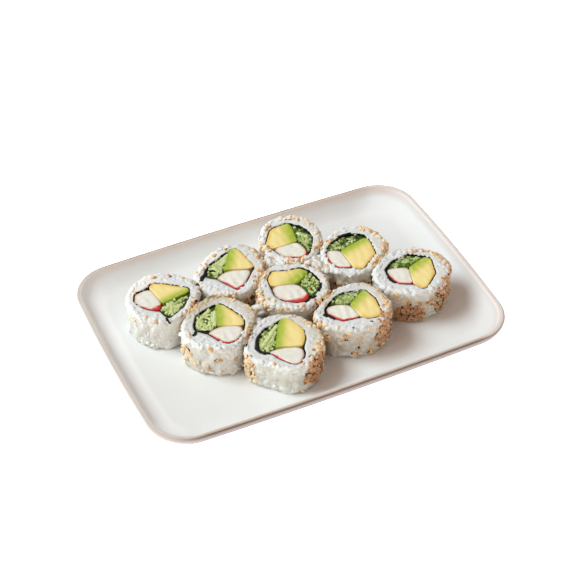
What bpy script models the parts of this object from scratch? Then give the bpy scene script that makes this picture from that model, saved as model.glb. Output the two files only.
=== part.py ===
"""California roll on its plate: nine cut pieces of inside-out roll in a shallow rectangular dish.

Frame: the origin is the centre of the plate's flat underside, +X runs along the plate's length
and +Z is up. Sizes below are in millimetres and become metres where a mesh is made.

Each piece of roll is five solids that all run from the plate to the cut face: a ring of rice, a
band of seaweed inside it, and inside that an avocado wedge, a crab stick and a bundle of
cucumber strips. The three fillings meet at a hub and are parted by three straight lines.
"""
import math

import bmesh
import bpy
import numpy as np
from mathutils import Matrix, Vector

MM = 0.001
GAP = 0.3

# Plate: half sizes, corner radius and bulge of the lip's outer edge.
LIP_HALF_LENGTH = 105.0
LIP_HALF_WIDTH = 71.7
LIP_CORNER_RADIUS = 20.8
END_BULGE = 2.3
SIDE_BULGE = 1.75
CORNER_TIGHTENING = 0.5
CORNER_SEGMENTS = 5
SIDE_SEGMENTS = 5
END_SEGMENTS = 4
FLOOR_HEIGHT = 6.0
LIP_HEIGHT = 15.0

# Plate section, as distance in from the lip's outer edge and height above the underside.
UNDERSIDE_EDGE = (15.0, 0.0)
OUTER_WALL = [(12.5, 1.2), (5.2, 6.4), (1.7, 9.8), (0.4, 12.2), (0.0, 14.0)]
LIP_TOP = [(0.8, LIP_HEIGHT), (2.6, 14.8)]
INNER_WALL = [(4.3, 13.0), (6.5, 10.6), (9.5, 8.2), (13.0, 6.5)]
WELL_FLOOR_EDGE = (16.5, FLOOR_HEIGHT)

# Each piece of roll, seen from above:
#   centre   its middle on the plate
#   height   from the plate to the cut face
#   nori     corners of the seaweed line, from the centre
#   rice     reach of the rice every 45 degrees, starting at +X and turning towards +Y
#   hub      where the three fillings meet, from the centre
#   cuts     directions of the avocado-crab, avocado-cucumber and crab-cucumber lines
#   fold     direction in which the seaweed lies double
#   seeds    direction in which the sesame is thickest
ROLLS = {
    1: dict(
        centre=(-66.2, 20.0), height=21.0, hub=(-2.0, -3.0), cuts=(99, 8, 228), fold=255, seeds=300,
        nori=[(-16.5, 5), (-14, 10.5), (-6, 12), (-1.5, 15), (4.5, 11.5), (16, 2.5), (13.5, -4),
              (7, -11), (-4.5, -16.5), (-6, -9), (-12, -4.5), (-15.5, 1)],
        rice=(20.5, 21, 21.5, 21.5, 20.5, 18.5, 18.5, 17.5)),
    2: dict(
        centre=(-25.0, 25.5), height=21.0, hub=(-2.5, 1.5), cuts=(-20, 56, 213), fold=175, seeds=330,
        nori=[(-14.5, 2), (-13.5, 4.5), (-8.5, 9.5), (10, 17), (12.5, 12.5), (14.5, -3),
              (3.5, -14.5), (-2.5, -17), (-9, -4), (-13, -1)],
        rice=(21.5, 24, 19.5, 17, 20.5, 20, 20, 19)),
    3: dict(
        centre=(16.8, 33.9), height=21.0, hub=(3.5, -2.0), cuts=(180, 80, -79), fold=30, seeds=180,
        nori=[(-15.5, 2), (-7.5, 13), (-4.5, 14.5), (5, 15), (11.5, 8.5), (13.5, 1), (13, -3),
              (7.5, -12.5), (2.5, -17), (-5.5, -17), (-9.5, -14), (-13.5, 0)],
        rice=(19, 22, 22, 18.5, 17.5, 17, 19, 17.5)),
    4: dict(
        centre=(43.4, 11.0), height=20.5, hub=(-4.0, 4.0), cuts=(-90, 12, 155), fold=95, seeds=20,
        nori=[(-17, -2.5), (-13.5, 5), (-11, 8.5), (-5.5, 12.5), (3.5, 15), (10, 13), (14, 10.5),
              (15, 3), (13, -7.5), (4, -13.5), (0.5, -17), (-5.5, -12.5), (-13.5, -9), (-15.5, -6)],
        rice=(23, 23.5, 20, 17, 17, 18, 18.5, 18.5)),
    5: dict(
        centre=(66.9, -19.2), height=22.0, hub=(0.0, 4.0), cuts=(-107, 18, 158), fold=170, seeds=300,
        nori=[(-14.5, 2.5), (-13.5, 8), (-6.5, 12.5), (4.5, 14), (13, 8), (15, 5), (11.5, -7),
              (0, -16.5), (-2, -15.5), (-4, -10.5), (-11.5, -6.5), (-14, -3)],
        rice=(22.5, 20.5, 20.5, 21, 22.5, 18.5, 18, 19.5)),
    6: dict(
        centre=(3.9, 1.6), height=21.0, hub=(1.5, -1.5), cuts=(164, 31, -80), fold=35, seeds=200,
        nori=[(-15, -6), (-13, 9), (-8, 14), (-1, 11), (8.5, 9.5), (11, 6.5), (13, 1), (13.5, -4),
              (12.5, -8.5), (6.5, -14), (-1.5, -17), (-5.5, -16.5), (-12, -12)],
        rice=(18, 16.5, 17.5, 19, 23, 22.5, 21, 20)),
    7: dict(
        centre=(24.0, -30.2), height=21.5, hub=(-0.5, 2.5), cuts=(-85, 32, 158), fold=180, seeds=320,
        nori=[(-16.5, 1.5), (-14.5, 5.5), (-7, 10.5), (-1, 12.5), (12.5, 9.5), (14.5, 0),
              (13, -9.5), (11, -13), (7, -13.5), (2.5, -12), (1, -10), (-10, -8.5), (-13, -5.5)],
        rice=(20.5, 20.5, 17, 16.5, 23, 19, 17.5, 20.5)),
    8: dict(
        centre=(-46.9, -11.3), height=21.0, hub=(-1.5, -0.5), cuts=(-23, 71, 203), fold=175, seeds=250,
        nori=[(-14.5, 1), (-13.5, 5), (-9.5, 11.5), (-3, 14), (5.5, 15.5), (8, 13.5), (11, 7),
              (13.5, 0.5), (13.5, -3.5), (8.5, -14), (5, -16.5), (-2, -16), (-5.5, -12.5),
              (-8.5, -5.5)],
        rice=(21.5, 21.5, 22, 20, 21.5, 19, 19, 18)),
    9: dict(
        centre=(-21.6, -36.4), height=19.0, hub=(-5.0, -2.5), cuts=(-20, 60, 194), fold=170, seeds=340,
        nori=[(-15.5, 1), (-11, 9), (-4.5, 13.5), (9.5, 16.5), (12, 13.5), (15, 3.5), (13, -3),
              (9, -8.5), (7.5, -14), (2, -19.5), (-2.5, -17.5), (-7.5, -10), (-9.5, -5), (-13, -4)],
        rice=(23, 22.5, 21.5, 20, 21, 18, 22, 22)),
}
NEIGHBOUR_DISTANCE = 50.0

# Rice ring. Its cut face has rings at shares of the way out from the hole, and its outer wall has
# levels, each with its share of the height, how far in it is drawn and how deep its bumps are.
COLUMNS = 30
LEAST_RICE_WALL = 2.4
FACE_RINGS = (0.0, 0.42, 0.78)
FACE_BUMP = 0.5
WALL_LEVELS = [(0.95, 0.35, 0.5), (0.80, 0.0, 0.9), (0.58, 0.0, 0.9), (0.34, 0.0, 0.9),
               (0.10, 0.1, 0.9), (0.0, 1.5, 0.3)]
REGULAR_BUMP = 0.6

# Sesame seeds that are fused to the rice.
SEEDS_PER_ROLL = 8
SEED_HALF_SIZES = (1.6, 1.05, 0.75)
SEED_SINK = 0.35
SEED_SPACING = 4.2
SEED_ABOVE_FOOT = 3.0
SEED_BELOW_FACE = 2.2
SEED_SIDE_SPREAD = 75.0
SEED_TRIES = 400

# Seaweed band.
NORI_THICKNESS = 0.7
NORI_FOLD_EXTRA = 0.9
NORI_FOLD_SPREAD = 22.0
CORNER_SMOOTHING = 5.0
NORI_BELOW_FACE = 0.3

# Fillings.
FILLING_SIDES = 16
MIDDLE_SHARE = 0.55
CROWN_HEIGHT = 0.8
CROWN_SHARE = 0.78
CRAB_BELOW_FACE = 0.2
CORE_BELOW_FACE = 2.2
STRIPS_PER_ROLL = 7
STRIP_WIDTHS = (2.1, 2.9)
STRIP_BURIED = 3.0
STRIP_UNEVENNESS = 1.6
STRIP_CLEARANCE = 0.1
STRIP_TRIES = 500

# How sharply walls and fillings turn where two of their limits meet.
WALL_SHARPNESS = 30.0
FILLING_SHARPNESS = 18.0
SMOOTH_ANGLE = math.radians(40)

# Colour and roughness of each kind of piece.
FINISHES = {
    "plate": ((0.83, 0.82, 0.80), 0.35),
    "rice": ((0.80, 0.81, 0.78), 0.45),
    "nori": ((0.012, 0.016, 0.012), 0.5),
    "avocado": ((0.80, 0.70, 0.25), 0.45),
    "crab": ((0.84, 0.80, 0.74), 0.45),
    "cucumber": ((0.45, 0.58, 0.27), 0.35),
}


def clear_scene():
    """Remove the objects that a new file starts with."""
    for obj in list(bpy.data.objects):
        bpy.data.objects.remove(obj, do_unlink=True)


def new_collection(name):
    collection = bpy.data.collections.new(name)
    bpy.context.scene.collection.children.link(collection)
    return collection


def make_material(name, kind):
    """A plain Principled material in the colour of its kind."""
    colour, roughness = FINISHES[kind]
    material = bpy.data.materials.new(name)
    material.use_nodes = True
    shader = material.node_tree.nodes["Principled BSDF"]
    shader.inputs["Base Color"].default_value = (*colour, 1.0)
    shader.inputs["Roughness"].default_value = roughness
    shader.inputs["Metallic"].default_value = 0.0
    material.diffuse_color = (*colour, 1.0)
    return material


def add_object(name, mesh_maker, collection, material):
    """Put the bmesh into a new named object, with its faces pointing out."""
    bmesh.ops.recalc_face_normals(mesh_maker, faces=mesh_maker.faces)
    mesh = bpy.data.meshes.new(name)
    mesh_maker.to_mesh(mesh)
    mesh_maker.free()
    mesh.materials.append(material)
    mesh.shade_smooth()
    mesh.set_sharp_from_angle(angle=SMOOTH_ANGLE)
    obj = bpy.data.objects.new(name, mesh)
    collection.objects.link(obj)
    return obj


def loft(rings, closed=False):
    """Skin through rings of equal point count, in mm: capped at both ends, or closed on itself."""
    mesh_maker = bmesh.new()
    rows = [[mesh_maker.verts.new(point) for point in ring * MM] for ring in rings]
    pairs = list(zip(rows, rows[1:]))
    if closed:
        pairs.append((rows[-1], rows[0]))
    for lower, upper in pairs:
        for i in range(len(lower)):
            j = (i + 1) % len(lower)
            mesh_maker.faces.new((lower[i], lower[j], upper[j], upper[i]))
    if not closed:
        mesh_maker.faces.new(rows[0])
        mesh_maker.faces.new(rows[-1])
    return mesh_maker


def fuse(obj, pieces):
    """Join every object of the collection to obj by one Boolean union, then remove them."""
    union = obj.modifiers.new("Fuse", "BOOLEAN")
    union.operation = "UNION"
    union.operand_type = "COLLECTION"
    union.collection = pieces
    graph = bpy.context.evaluated_depsgraph_get()
    fused = bpy.data.meshes.new_from_object(obj.evaluated_get(graph))
    obj.modifiers.clear()
    obj.data = fused
    for piece in list(pieces.objects):
        bpy.data.objects.remove(piece, do_unlink=True)
    bpy.data.collections.remove(pieces)


def directions(count):
    """Evenly spaced angles round a full turn, in radians."""
    return np.arange(count) * (2 * math.pi / count)


def turn_between(angles, target):
    """Signed smallest turn in degrees from the target direction to each angle."""
    return (np.degrees(angles) - target + 180.0) % 360.0 - 180.0


def ray_to_outline(start, angles, corners):
    """Distance from start to the first crossing of a closed outline, along each angle."""
    first = np.asarray(corners, float) - start
    edge = np.roll(first, -1, axis=0) - first
    ray = np.stack([np.cos(angles), np.sin(angles)], axis=-1)[:, None, :]
    turn = ray[..., 0] * edge[:, 1] - ray[..., 1] * edge[:, 0]
    turn = np.where(np.abs(turn) < 1e-9, 1e-9, turn)
    along_ray = (first[:, 0] * edge[:, 1] - first[:, 1] * edge[:, 0]) / turn
    along_edge = (first[:, 0] * ray[..., 1] - first[:, 1] * ray[..., 0]) / turn
    hit = (along_ray > 0) & (along_edge >= 0) & (along_edge <= 1)
    return np.where(hit, along_ray, np.inf).min(axis=1)


def ray_to_line(start, angles, point, normal):
    """Distance from start to a straight line, along each angle; no limit when heading away."""
    closing = np.cos(angles) * normal[0] + np.sin(angles) * normal[1]
    room = np.dot(np.asarray(point) - start, normal)
    return np.where(closing > 1e-6, room / np.maximum(closing, 1e-6), np.inf)


def soft_least(limits, sharpness):
    """A smooth lower bound of several distances, so that lines meet in a rounded corner."""
    total = sum(np.power(limit, -sharpness) for limit in limits)
    return np.power(total, -1.0 / sharpness)


def round_curve(values, angles):
    """Smooth closed curve through evenly spaced values (Catmull-Rom)."""
    values = np.asarray(values, float)
    place = np.mod(angles, 2 * math.pi) / (2 * math.pi) * len(values)
    index = np.floor(place).astype(int)
    t = place - index
    before, here, after, beyond = (values[(index + k) % len(values)] for k in (-1, 0, 1, 2))
    return 0.5 * (2 * here + (after - before) * t
                  + (2 * before - 5 * here + 4 * after - beyond) * t ** 2
                  + (3 * here - before - 3 * after + beyond) * t ** 3)


def polar_loop(centre, angles, radii):
    """Points of a loop round a centre, as an array of x and y."""
    return np.stack([centre[0] + radii * np.cos(angles), centre[1] + radii * np.sin(angles)], axis=-1)


def offset_loop(loop, distance):
    """Move each point of a loop inwards by a distance, square to the loop."""
    along = np.roll(loop, -1, axis=0) - np.roll(loop, 1, axis=0)
    along /= np.linalg.norm(along, axis=1, keepdims=True)
    inwards = np.stack([-along[:, 1], along[:, 0]], axis=-1)
    return loop + inwards * np.reshape(distance, (-1, 1))


def at_height(loop, height):
    """A flat loop lifted to one height, or to a height for each point."""
    heights = np.broadcast_to(height, len(loop))
    return np.column_stack([loop, heights])


def plate_outline(inset):
    """The lip's outline moved in by a distance: round corners joined by sides that bulge out."""
    radius = LIP_CORNER_RADIUS - CORNER_TIGHTENING * inset
    half_sizes = np.array([LIP_HALF_LENGTH, LIP_HALF_WIDTH]) - inset
    corners = []
    for quarter, signs in enumerate([(1, 1), (-1, 1), (-1, -1), (1, -1)]):
        turn = (quarter + np.linspace(0, 1, CORNER_SEGMENTS + 1)) * 0.5 * math.pi
        middle = np.array(signs) * (half_sizes - radius)
        corners.append(polar_loop(middle, turn, radius))
    runs = []
    side_segments = [SIDE_SEGMENTS, END_SEGMENTS, SIDE_SEGMENTS, END_SEGMENTS]
    for corner, following, segments in zip(corners, corners[1:] + corners[:1], side_segments):
        share = np.arange(1, segments)[:, None] / segments
        runs += [corner, corner[-1] + (following[0] - corner[-1]) * share]
    outline = np.concatenate(runs)
    x, y = (outline / half_sizes).T
    outline[:, 0] += END_BULGE * x * (1 - y ** 2)
    outline[:, 1] += SIDE_BULGE * y * (1 - x ** 2)
    return outline


def build_plate(collection):
    """The plate, skinned from its underside out, over the lip and down to the well's floor."""
    section = [UNDERSIDE_EDGE, *OUTER_WALL, *LIP_TOP, *INNER_WALL, WELL_FLOOR_EDGE]
    rings = [at_height(plate_outline(inset), height) for inset, height in section]
    add_object("plate", loft(rings), collection, make_material("plate", "plate"))


def neighbour_lines(number):
    """Lines that part a piece of roll from those next to it, each as a point and a normal."""
    roll = ROLLS[number]
    centre = np.array(roll["centre"])
    lines = []
    for other_number, other in ROLLS.items():
        apart = np.array(other["centre"]) - centre
        distance = np.linalg.norm(apart)
        if other_number == number or distance > NEIGHBOUR_DISTANCE:
            continue
        heading = math.atan2(apart[1], apart[0])
        own = float(round_curve(roll["rice"], np.array([heading]))[0])
        theirs = float(round_curve(other["rice"], np.array([heading + math.pi]))[0])
        share = distance * own / (own + theirs) - GAP / 2
        lines.append((centre + apart / distance * share, apart / distance))
    return lines


def shapes_of(number):
    """The loops that the solids of one piece of roll share."""
    roll = ROLLS[number]
    centre = np.array(roll["centre"])
    angles = directions(COLUMNS)
    limits = [ray_to_line(centre, angles, point, normal) for point, normal in neighbour_lines(number)]
    reach = np.minimum.reduce(limits)
    rice = soft_least([round_curve(roll["rice"], angles), *limits], WALL_SHARPNESS)
    spread = np.radians(np.linspace(-CORNER_SMOOTHING, CORNER_SMOOTHING, 5))
    corners = centre + np.array(roll["nori"], float)
    nori = np.mean([ray_to_outline(centre, angles + turn, corners) for turn in spread], axis=0)
    nori = soft_least([nori, rice - LEAST_RICE_WALL], WALL_SHARPNESS)
    fold = np.exp(-(turn_between(angles, roll["fold"]) / NORI_FOLD_SPREAD) ** 2)
    outer = polar_loop(centre, angles, nori)
    thickness = NORI_THICKNESS + NORI_FOLD_EXTRA * fold
    return dict(
        centre=centre, angles=angles, reach=reach, rice=rice, nori_outer=outer,
        nori_inner=offset_loop(outer, thickness),
        room=offset_loop(outer, thickness + GAP),
        hole=offset_loop(outer, -GAP))


def rice_rings(number, shapes, base, draw):
    """Rings of the rice, from the foot of the hole up to the cut face, over its rim and down."""
    height = ROLLS[number]["height"]
    hole = shapes["hole"]
    rim = polar_loop(shapes["centre"], shapes["angles"], shapes["rice"])

    def bumps(row, depth):
        """Alternate points pressed in, so that the others stand out like grains."""
        pattern = (np.arange(COLUMNS) + row) % 2
        return depth * (REGULAR_BUMP * pattern + (1 - REGULAR_BUMP) * draw.random(COLUMNS))

    rings = [at_height(hole, base)]
    for row, share in enumerate(FACE_RINGS):
        rings.append(at_height(hole + (rim - hole) * share, base + height - bumps(row, FACE_BUMP)))
    for row, (level, inset, depth) in enumerate(WALL_LEVELS, len(FACE_RINGS)):
        radii = shapes["rice"] - inset - bumps(row, depth)
        wall = polar_loop(shapes["centre"], shapes["angles"], radii)
        rings.append(at_height(wall, base + level * height))
    return rings


def add_seed(pieces, index, place, heading, spin, material):
    """One sesame seed that lies flat on the wall facing its heading, with its long side turned."""
    mesh_maker = bmesh.new()
    bmesh.ops.create_icosphere(mesh_maker, subdivisions=1, radius=1.0)
    long_side, wide, thick = SEED_HALF_SIZES
    flat = Vector((thick, long_side, wide))
    turn = Matrix.Rotation(heading, 3, "Z") @ Matrix.Rotation(spin, 3, "X")
    for vert in mesh_maker.verts:
        vert.co = (Vector(place) + turn @ (vert.co * flat)) * MM
    add_object(f"seed_{index}", mesh_maker, pieces, material)


def seed_places(number, shapes, base, draw):
    """Places on the outer wall, spread apart, clear of the neighbours and thickest on one side."""
    roll = ROLLS[number]
    places = []
    for _ in range(SEED_TRIES):
        heading = math.radians(roll["seeds"] + SEED_SIDE_SPREAD * draw.normal()) % (2 * math.pi)
        height = base + draw.uniform(SEED_ABOVE_FOOT, roll["height"] - SEED_BELOW_FACE)
        column = int(heading / (2 * math.pi) * COLUMNS)
        pair = [column, (column + 1) % COLUMNS]
        radius = shapes["rice"][pair].min() - SEED_SINK
        beside = np.take(shapes["reach"], [column - 1, column, column + 1, column + 2], mode="wrap")
        if beside.min() < radius + SEED_HALF_SIZES[0] + GAP:
            continue
        place = np.array([shapes["centre"][0] + radius * math.cos(heading),
                          shapes["centre"][1] + radius * math.sin(heading), height])
        if all(np.linalg.norm(place - other) > SEED_SPACING for other, _ in places):
            places.append((place, heading))
        if len(places) == SEEDS_PER_ROLL:
            break
    return places


def build_rice(number, shapes, base, collection, material):
    """The ring of rice with grain-sized bumps, and the sesame seeds fused to it."""
    draw = np.random.default_rng(100 + number)
    ring = add_object(f"roll_{number}_rice", loft(rice_rings(number, shapes, base, draw), closed=True),
                      collection, material)
    seeds = new_collection(f"seeds_{number}")
    for index, (place, heading) in enumerate(seed_places(number, shapes, base, draw)):
        add_seed(seeds, index, place, heading, draw.uniform(0, math.pi), material)
    fuse(ring, seeds)


def build_nori(number, shapes, base, collection, material):
    """The band of seaweed, which lies double at its fold."""
    top = base + ROLLS[number]["height"] - NORI_BELOW_FACE
    rings = [
        at_height(shapes["nori_outer"], base),
        at_height(shapes["nori_outer"], top),
        at_height(shapes["nori_inner"], top),
        at_height(shapes["nori_inner"], base),
    ]
    add_object(f"roll_{number}_nori", loft(rings, closed=True), collection, material)


def filling_loop(number, shapes, first_cut, last_cut):
    """Loop of the filling between two cuts, and its middle.

    Along each direction from its middle it reaches to the seaweed or to the nearer of its two
    cuts, whichever comes first, with rounded corners.
    """
    roll = ROLLS[number]
    hub = shapes["centre"] + np.array(roll["hub"])
    opening = (last_cut - first_cut) % 360
    if opening > 180:
        first_cut, opening = last_cut, 360 - opening
    bisector = math.radians(first_cut + opening / 2)
    depth = ray_to_outline(hub, np.array([bisector]), shapes["room"])[0]
    middle = hub + MIDDLE_SHARE * depth * np.array([math.cos(bisector), math.sin(bisector)])
    angles = directions(FILLING_SIDES)
    limits = [ray_to_outline(middle, angles, shapes["room"])]
    for cut, side in ((first_cut, -1), (first_cut + opening, 1)):
        heading = math.radians(cut)
        normal = side * np.array([-math.sin(heading), math.cos(heading)])
        limits.append(ray_to_line(middle, angles, hub - normal * GAP / 2, normal))
    return polar_loop(middle, angles, soft_least(limits, FILLING_SHARPNESS)), middle


def build_filling(name, loop, middle, base, top, collection, material):
    """A filling that runs from the plate to the cut face, where its edge is slightly crowned."""
    rings = [
        at_height(loop, base),
        at_height(loop, top - CROWN_HEIGHT),
        at_height(middle + (loop - middle) * CROWN_SHARE, top),
    ]
    add_object(name, loft(rings), collection, material)


def strip_places(loop, middle, draw):
    """Places for strip ends inside the bundle's outline, clear of each other."""
    places = []
    for _ in range(STRIP_TRIES):
        width = draw.uniform(*STRIP_WIDTHS)
        clearance = width * math.sqrt(0.5)
        heading = draw.uniform(0, 2 * math.pi)
        limit = ray_to_outline(middle, np.array([heading]), loop)[0]
        radius = limit * math.sqrt(draw.random())
        place = middle + radius * np.array([math.cos(heading), math.sin(heading)])
        around = ray_to_outline(place, directions(FILLING_SIDES), loop)
        if around.min() < clearance + STRIP_CLEARANCE:
            continue
        if all(np.linalg.norm(place - other) > clearance + reach + STRIP_CLEARANCE
               for other, _, reach in places):
            places.append((place, width, clearance))
        if len(places) == STRIPS_PER_ROLL:
            break
    return places


def build_cucumber(number, loop, middle, base, top, collection, material):
    """The bundle of cucumber strips: a core, with the square strip ends fused on at its face."""
    draw = np.random.default_rng(200 + number)
    name = f"roll_{number}_cucumber"
    face = top - CORE_BELOW_FACE
    core = add_object(name, loft([at_height(loop, base), at_height(loop, face)]), collection, material)
    strips = new_collection(f"strips_{number}")
    for index, (place, width, _) in enumerate(strip_places(loop, middle, draw)):
        end = top - draw.uniform(0, STRIP_UNEVENNESS)
        start = face - STRIP_BURIED
        spin = draw.uniform(0, 0.5 * math.pi)
        strip_middle = Vector((*place, 0.5 * (start + end)))
        stretch = Matrix.Diagonal((width, width, end - start))
        turn = Matrix.Rotation(spin, 3, "Z")
        mesh_maker = bmesh.new()
        bmesh.ops.create_cube(mesh_maker, size=1.0)
        for vert in mesh_maker.verts:
            vert.co = (strip_middle + turn @ stretch @ vert.co) * MM
        add_object(f"strip_{index}", mesh_maker, strips, material)
    fuse(core, strips)


def build_roll(number, collection):
    """The five solids of one piece of roll."""
    shapes = shapes_of(number)
    base = FLOOR_HEIGHT + GAP
    top = base + ROLLS[number]["height"]
    avocado_crab, avocado_cucumber, crab_cucumber = ROLLS[number]["cuts"]
    finish = {kind: make_material(f"roll_{number}_{kind}", kind)
              for kind in ("rice", "nori", "avocado", "crab", "cucumber")}
    build_rice(number, shapes, base, collection, finish["rice"])
    build_nori(number, shapes, base, collection, finish["nori"])
    loop, middle = filling_loop(number, shapes, avocado_crab, avocado_cucumber)
    build_filling(f"roll_{number}_avocado", loop, middle, base, top, collection, finish["avocado"])
    loop, middle = filling_loop(number, shapes, avocado_crab, crab_cucumber)
    build_filling(f"roll_{number}_crab", loop, middle, base, top - CRAB_BELOW_FACE, collection,
                  finish["crab"])
    loop, middle = filling_loop(number, shapes, avocado_cucumber, crab_cucumber)
    build_cucumber(number, loop, middle, base, top, collection, finish["cucumber"])


def main():
    clear_scene()
    collection = new_collection("california_roll")
    build_plate(collection)
    for number in ROLLS:
        build_roll(number, collection)


main()
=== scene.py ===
"""Looks of the california roll on its plate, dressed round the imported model.

Sizes are in millimetres in the plate's own frame (origin under its middle, +X along its length,
+Z up) and become metres where a mesh is written. Directions are in degrees from +X towards +Y.
"""

import math

import bpy
import numpy as np
from bpy.props import FloatProperty, FloatVectorProperty, PointerProperty
from mathutils import Matrix, Vector


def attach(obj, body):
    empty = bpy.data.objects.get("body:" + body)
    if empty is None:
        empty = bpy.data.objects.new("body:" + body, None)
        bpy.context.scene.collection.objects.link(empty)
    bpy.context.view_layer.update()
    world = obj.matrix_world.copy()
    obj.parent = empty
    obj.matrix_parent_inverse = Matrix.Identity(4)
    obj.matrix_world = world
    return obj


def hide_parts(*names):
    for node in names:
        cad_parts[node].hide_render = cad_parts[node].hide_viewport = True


bl_info = {
    "name": "California Roll Plate",
    "version": (1, 0, 0),
    "blender": (4, 5, 0),
    "location": "3D View > Sidebar > Sushi",
    "description": "Plate, rice, sesame, seaweed and fillings of a served inside-out roll",
    "category": "Object",
}

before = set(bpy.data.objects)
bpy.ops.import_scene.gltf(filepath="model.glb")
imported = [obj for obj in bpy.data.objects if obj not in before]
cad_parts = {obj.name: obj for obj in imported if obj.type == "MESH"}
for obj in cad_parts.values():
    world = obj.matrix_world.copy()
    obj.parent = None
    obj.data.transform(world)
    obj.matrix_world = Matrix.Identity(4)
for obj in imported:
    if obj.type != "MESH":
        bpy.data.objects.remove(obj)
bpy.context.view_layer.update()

MM = 0.001
FULL_TURN = 2 * math.pi
QUARTER_TURN = 0.5 * math.pi
GOLDEN_ANGLE = math.radians(137.508)
# Gap between touching parts, and the height that nothing may pass.
GAP = 0.3
HIGHEST = 28.28
# Starting numbers of the random draws, so that every run makes the same pieces.
DRAWS = dict(lumps=900, core=5, lap=950, grains=300, heap=77, sesame=77, seaweed=500, avocado=40,
             crab=60, cucumber=700)

# Plate: half sizes, corner radius and bulge of the lip's outer edge, and the points round it.
LIP_HALF_LENGTH = 105.0
LIP_HALF_WIDTH = 71.7
LIP_CORNER_RADIUS = 20.8
CORNER_TIGHTENING = 0.5
END_BULGE = 2.3
SIDE_BULGE = 1.7
CORNER_SEGMENTS = 18
SIDE_SEGMENTS = 24
END_SEGMENTS = 18
FLOOR_HEIGHT = 6.0

# Plate section, as distance in from the lip's outer edge and height above the underside.
UNDERSIDE = [(30.0, 0.0), (17.0, 0.0)]
OUTER_WALL = [(15.0, 0.0), (12.5, 1.2), (5.2, 6.4), (1.7, 9.8), (0.4, 12.2), (0.0, 14.0)]
LIP_TOP = [(0.8, 15.0), (2.6, 14.8)]
INNER_WALL = [(4.3, 13.0), (6.5, 10.6), (9.5, 8.2), (13.0, 6.5), (16.5, FLOOR_HEIGHT)]
WELL_FLOOR = [(18.5, FLOOR_HEIGHT), (30.0, FLOOR_HEIGHT)]
SECTION_STEPS = 5

# Bands of the plate's glaze, in mm along its section from the lip's crest, below 0 on the outer
# wall: where each band starts and where it is full.
THIN_GLAZE = (3.3, 1.5)
DARK_CLAY_BAND = (2.0, 0.4)
EDGE_LINE = (0.5, -0.1)
# Painted shade on the outer wall: where it starts, and where it deepens lower down.
OUTSIDE = (-0.6, -1.0)
LOW_OUTSIDE = (-1.2, -4.5)
ROUGH_INSIDE = (3.2, 2.2)
ROUGH_OUTSIDE = (-2.4, -1.6)
INNER_WALL_BAND = (2.0, 3.8)
# The next four bands are painted light on the left inner wall and at the lit end; the two after them are
# painted shade on the right lip.
LEFT_WALL_TOP = (1.8, 3.0)
LEFT_WALL_FOOT = (19.0, 15.0)
LIT_WALL_TOP = (5.0, 8.0)
LIT_WALL_FOOT = (21.0, 16.0)
RIGHT_LIP_INSIDE = (7.0, 2.5)
RIGHT_LIP_OUTSIDE = (-0.6, 0.2)
BACK_LIP_INSIDE = (7.0, 2.8)
BACK_LIP_OUTSIDE = (0.4, 1.2)
# Stretches of the plate, in metres from its middle: where each starts and where it is full.
LEFT_END = (-0.076, -0.1)
RIGHT_END = (0.076, 0.1)
# The next stretches: painted light on the left wall, painted shade on the right lip, and painted light at
# the lit end and its back half.
LEFT_WALL = (-0.082, -0.094)
RIGHT_LIP = (0.078, 0.092)
LIT_END = (0.068, 0.082)
LIT_BACK_HALF = (-0.03, 0.0)
BACK_LIP = (0.058, 0.066)

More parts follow.
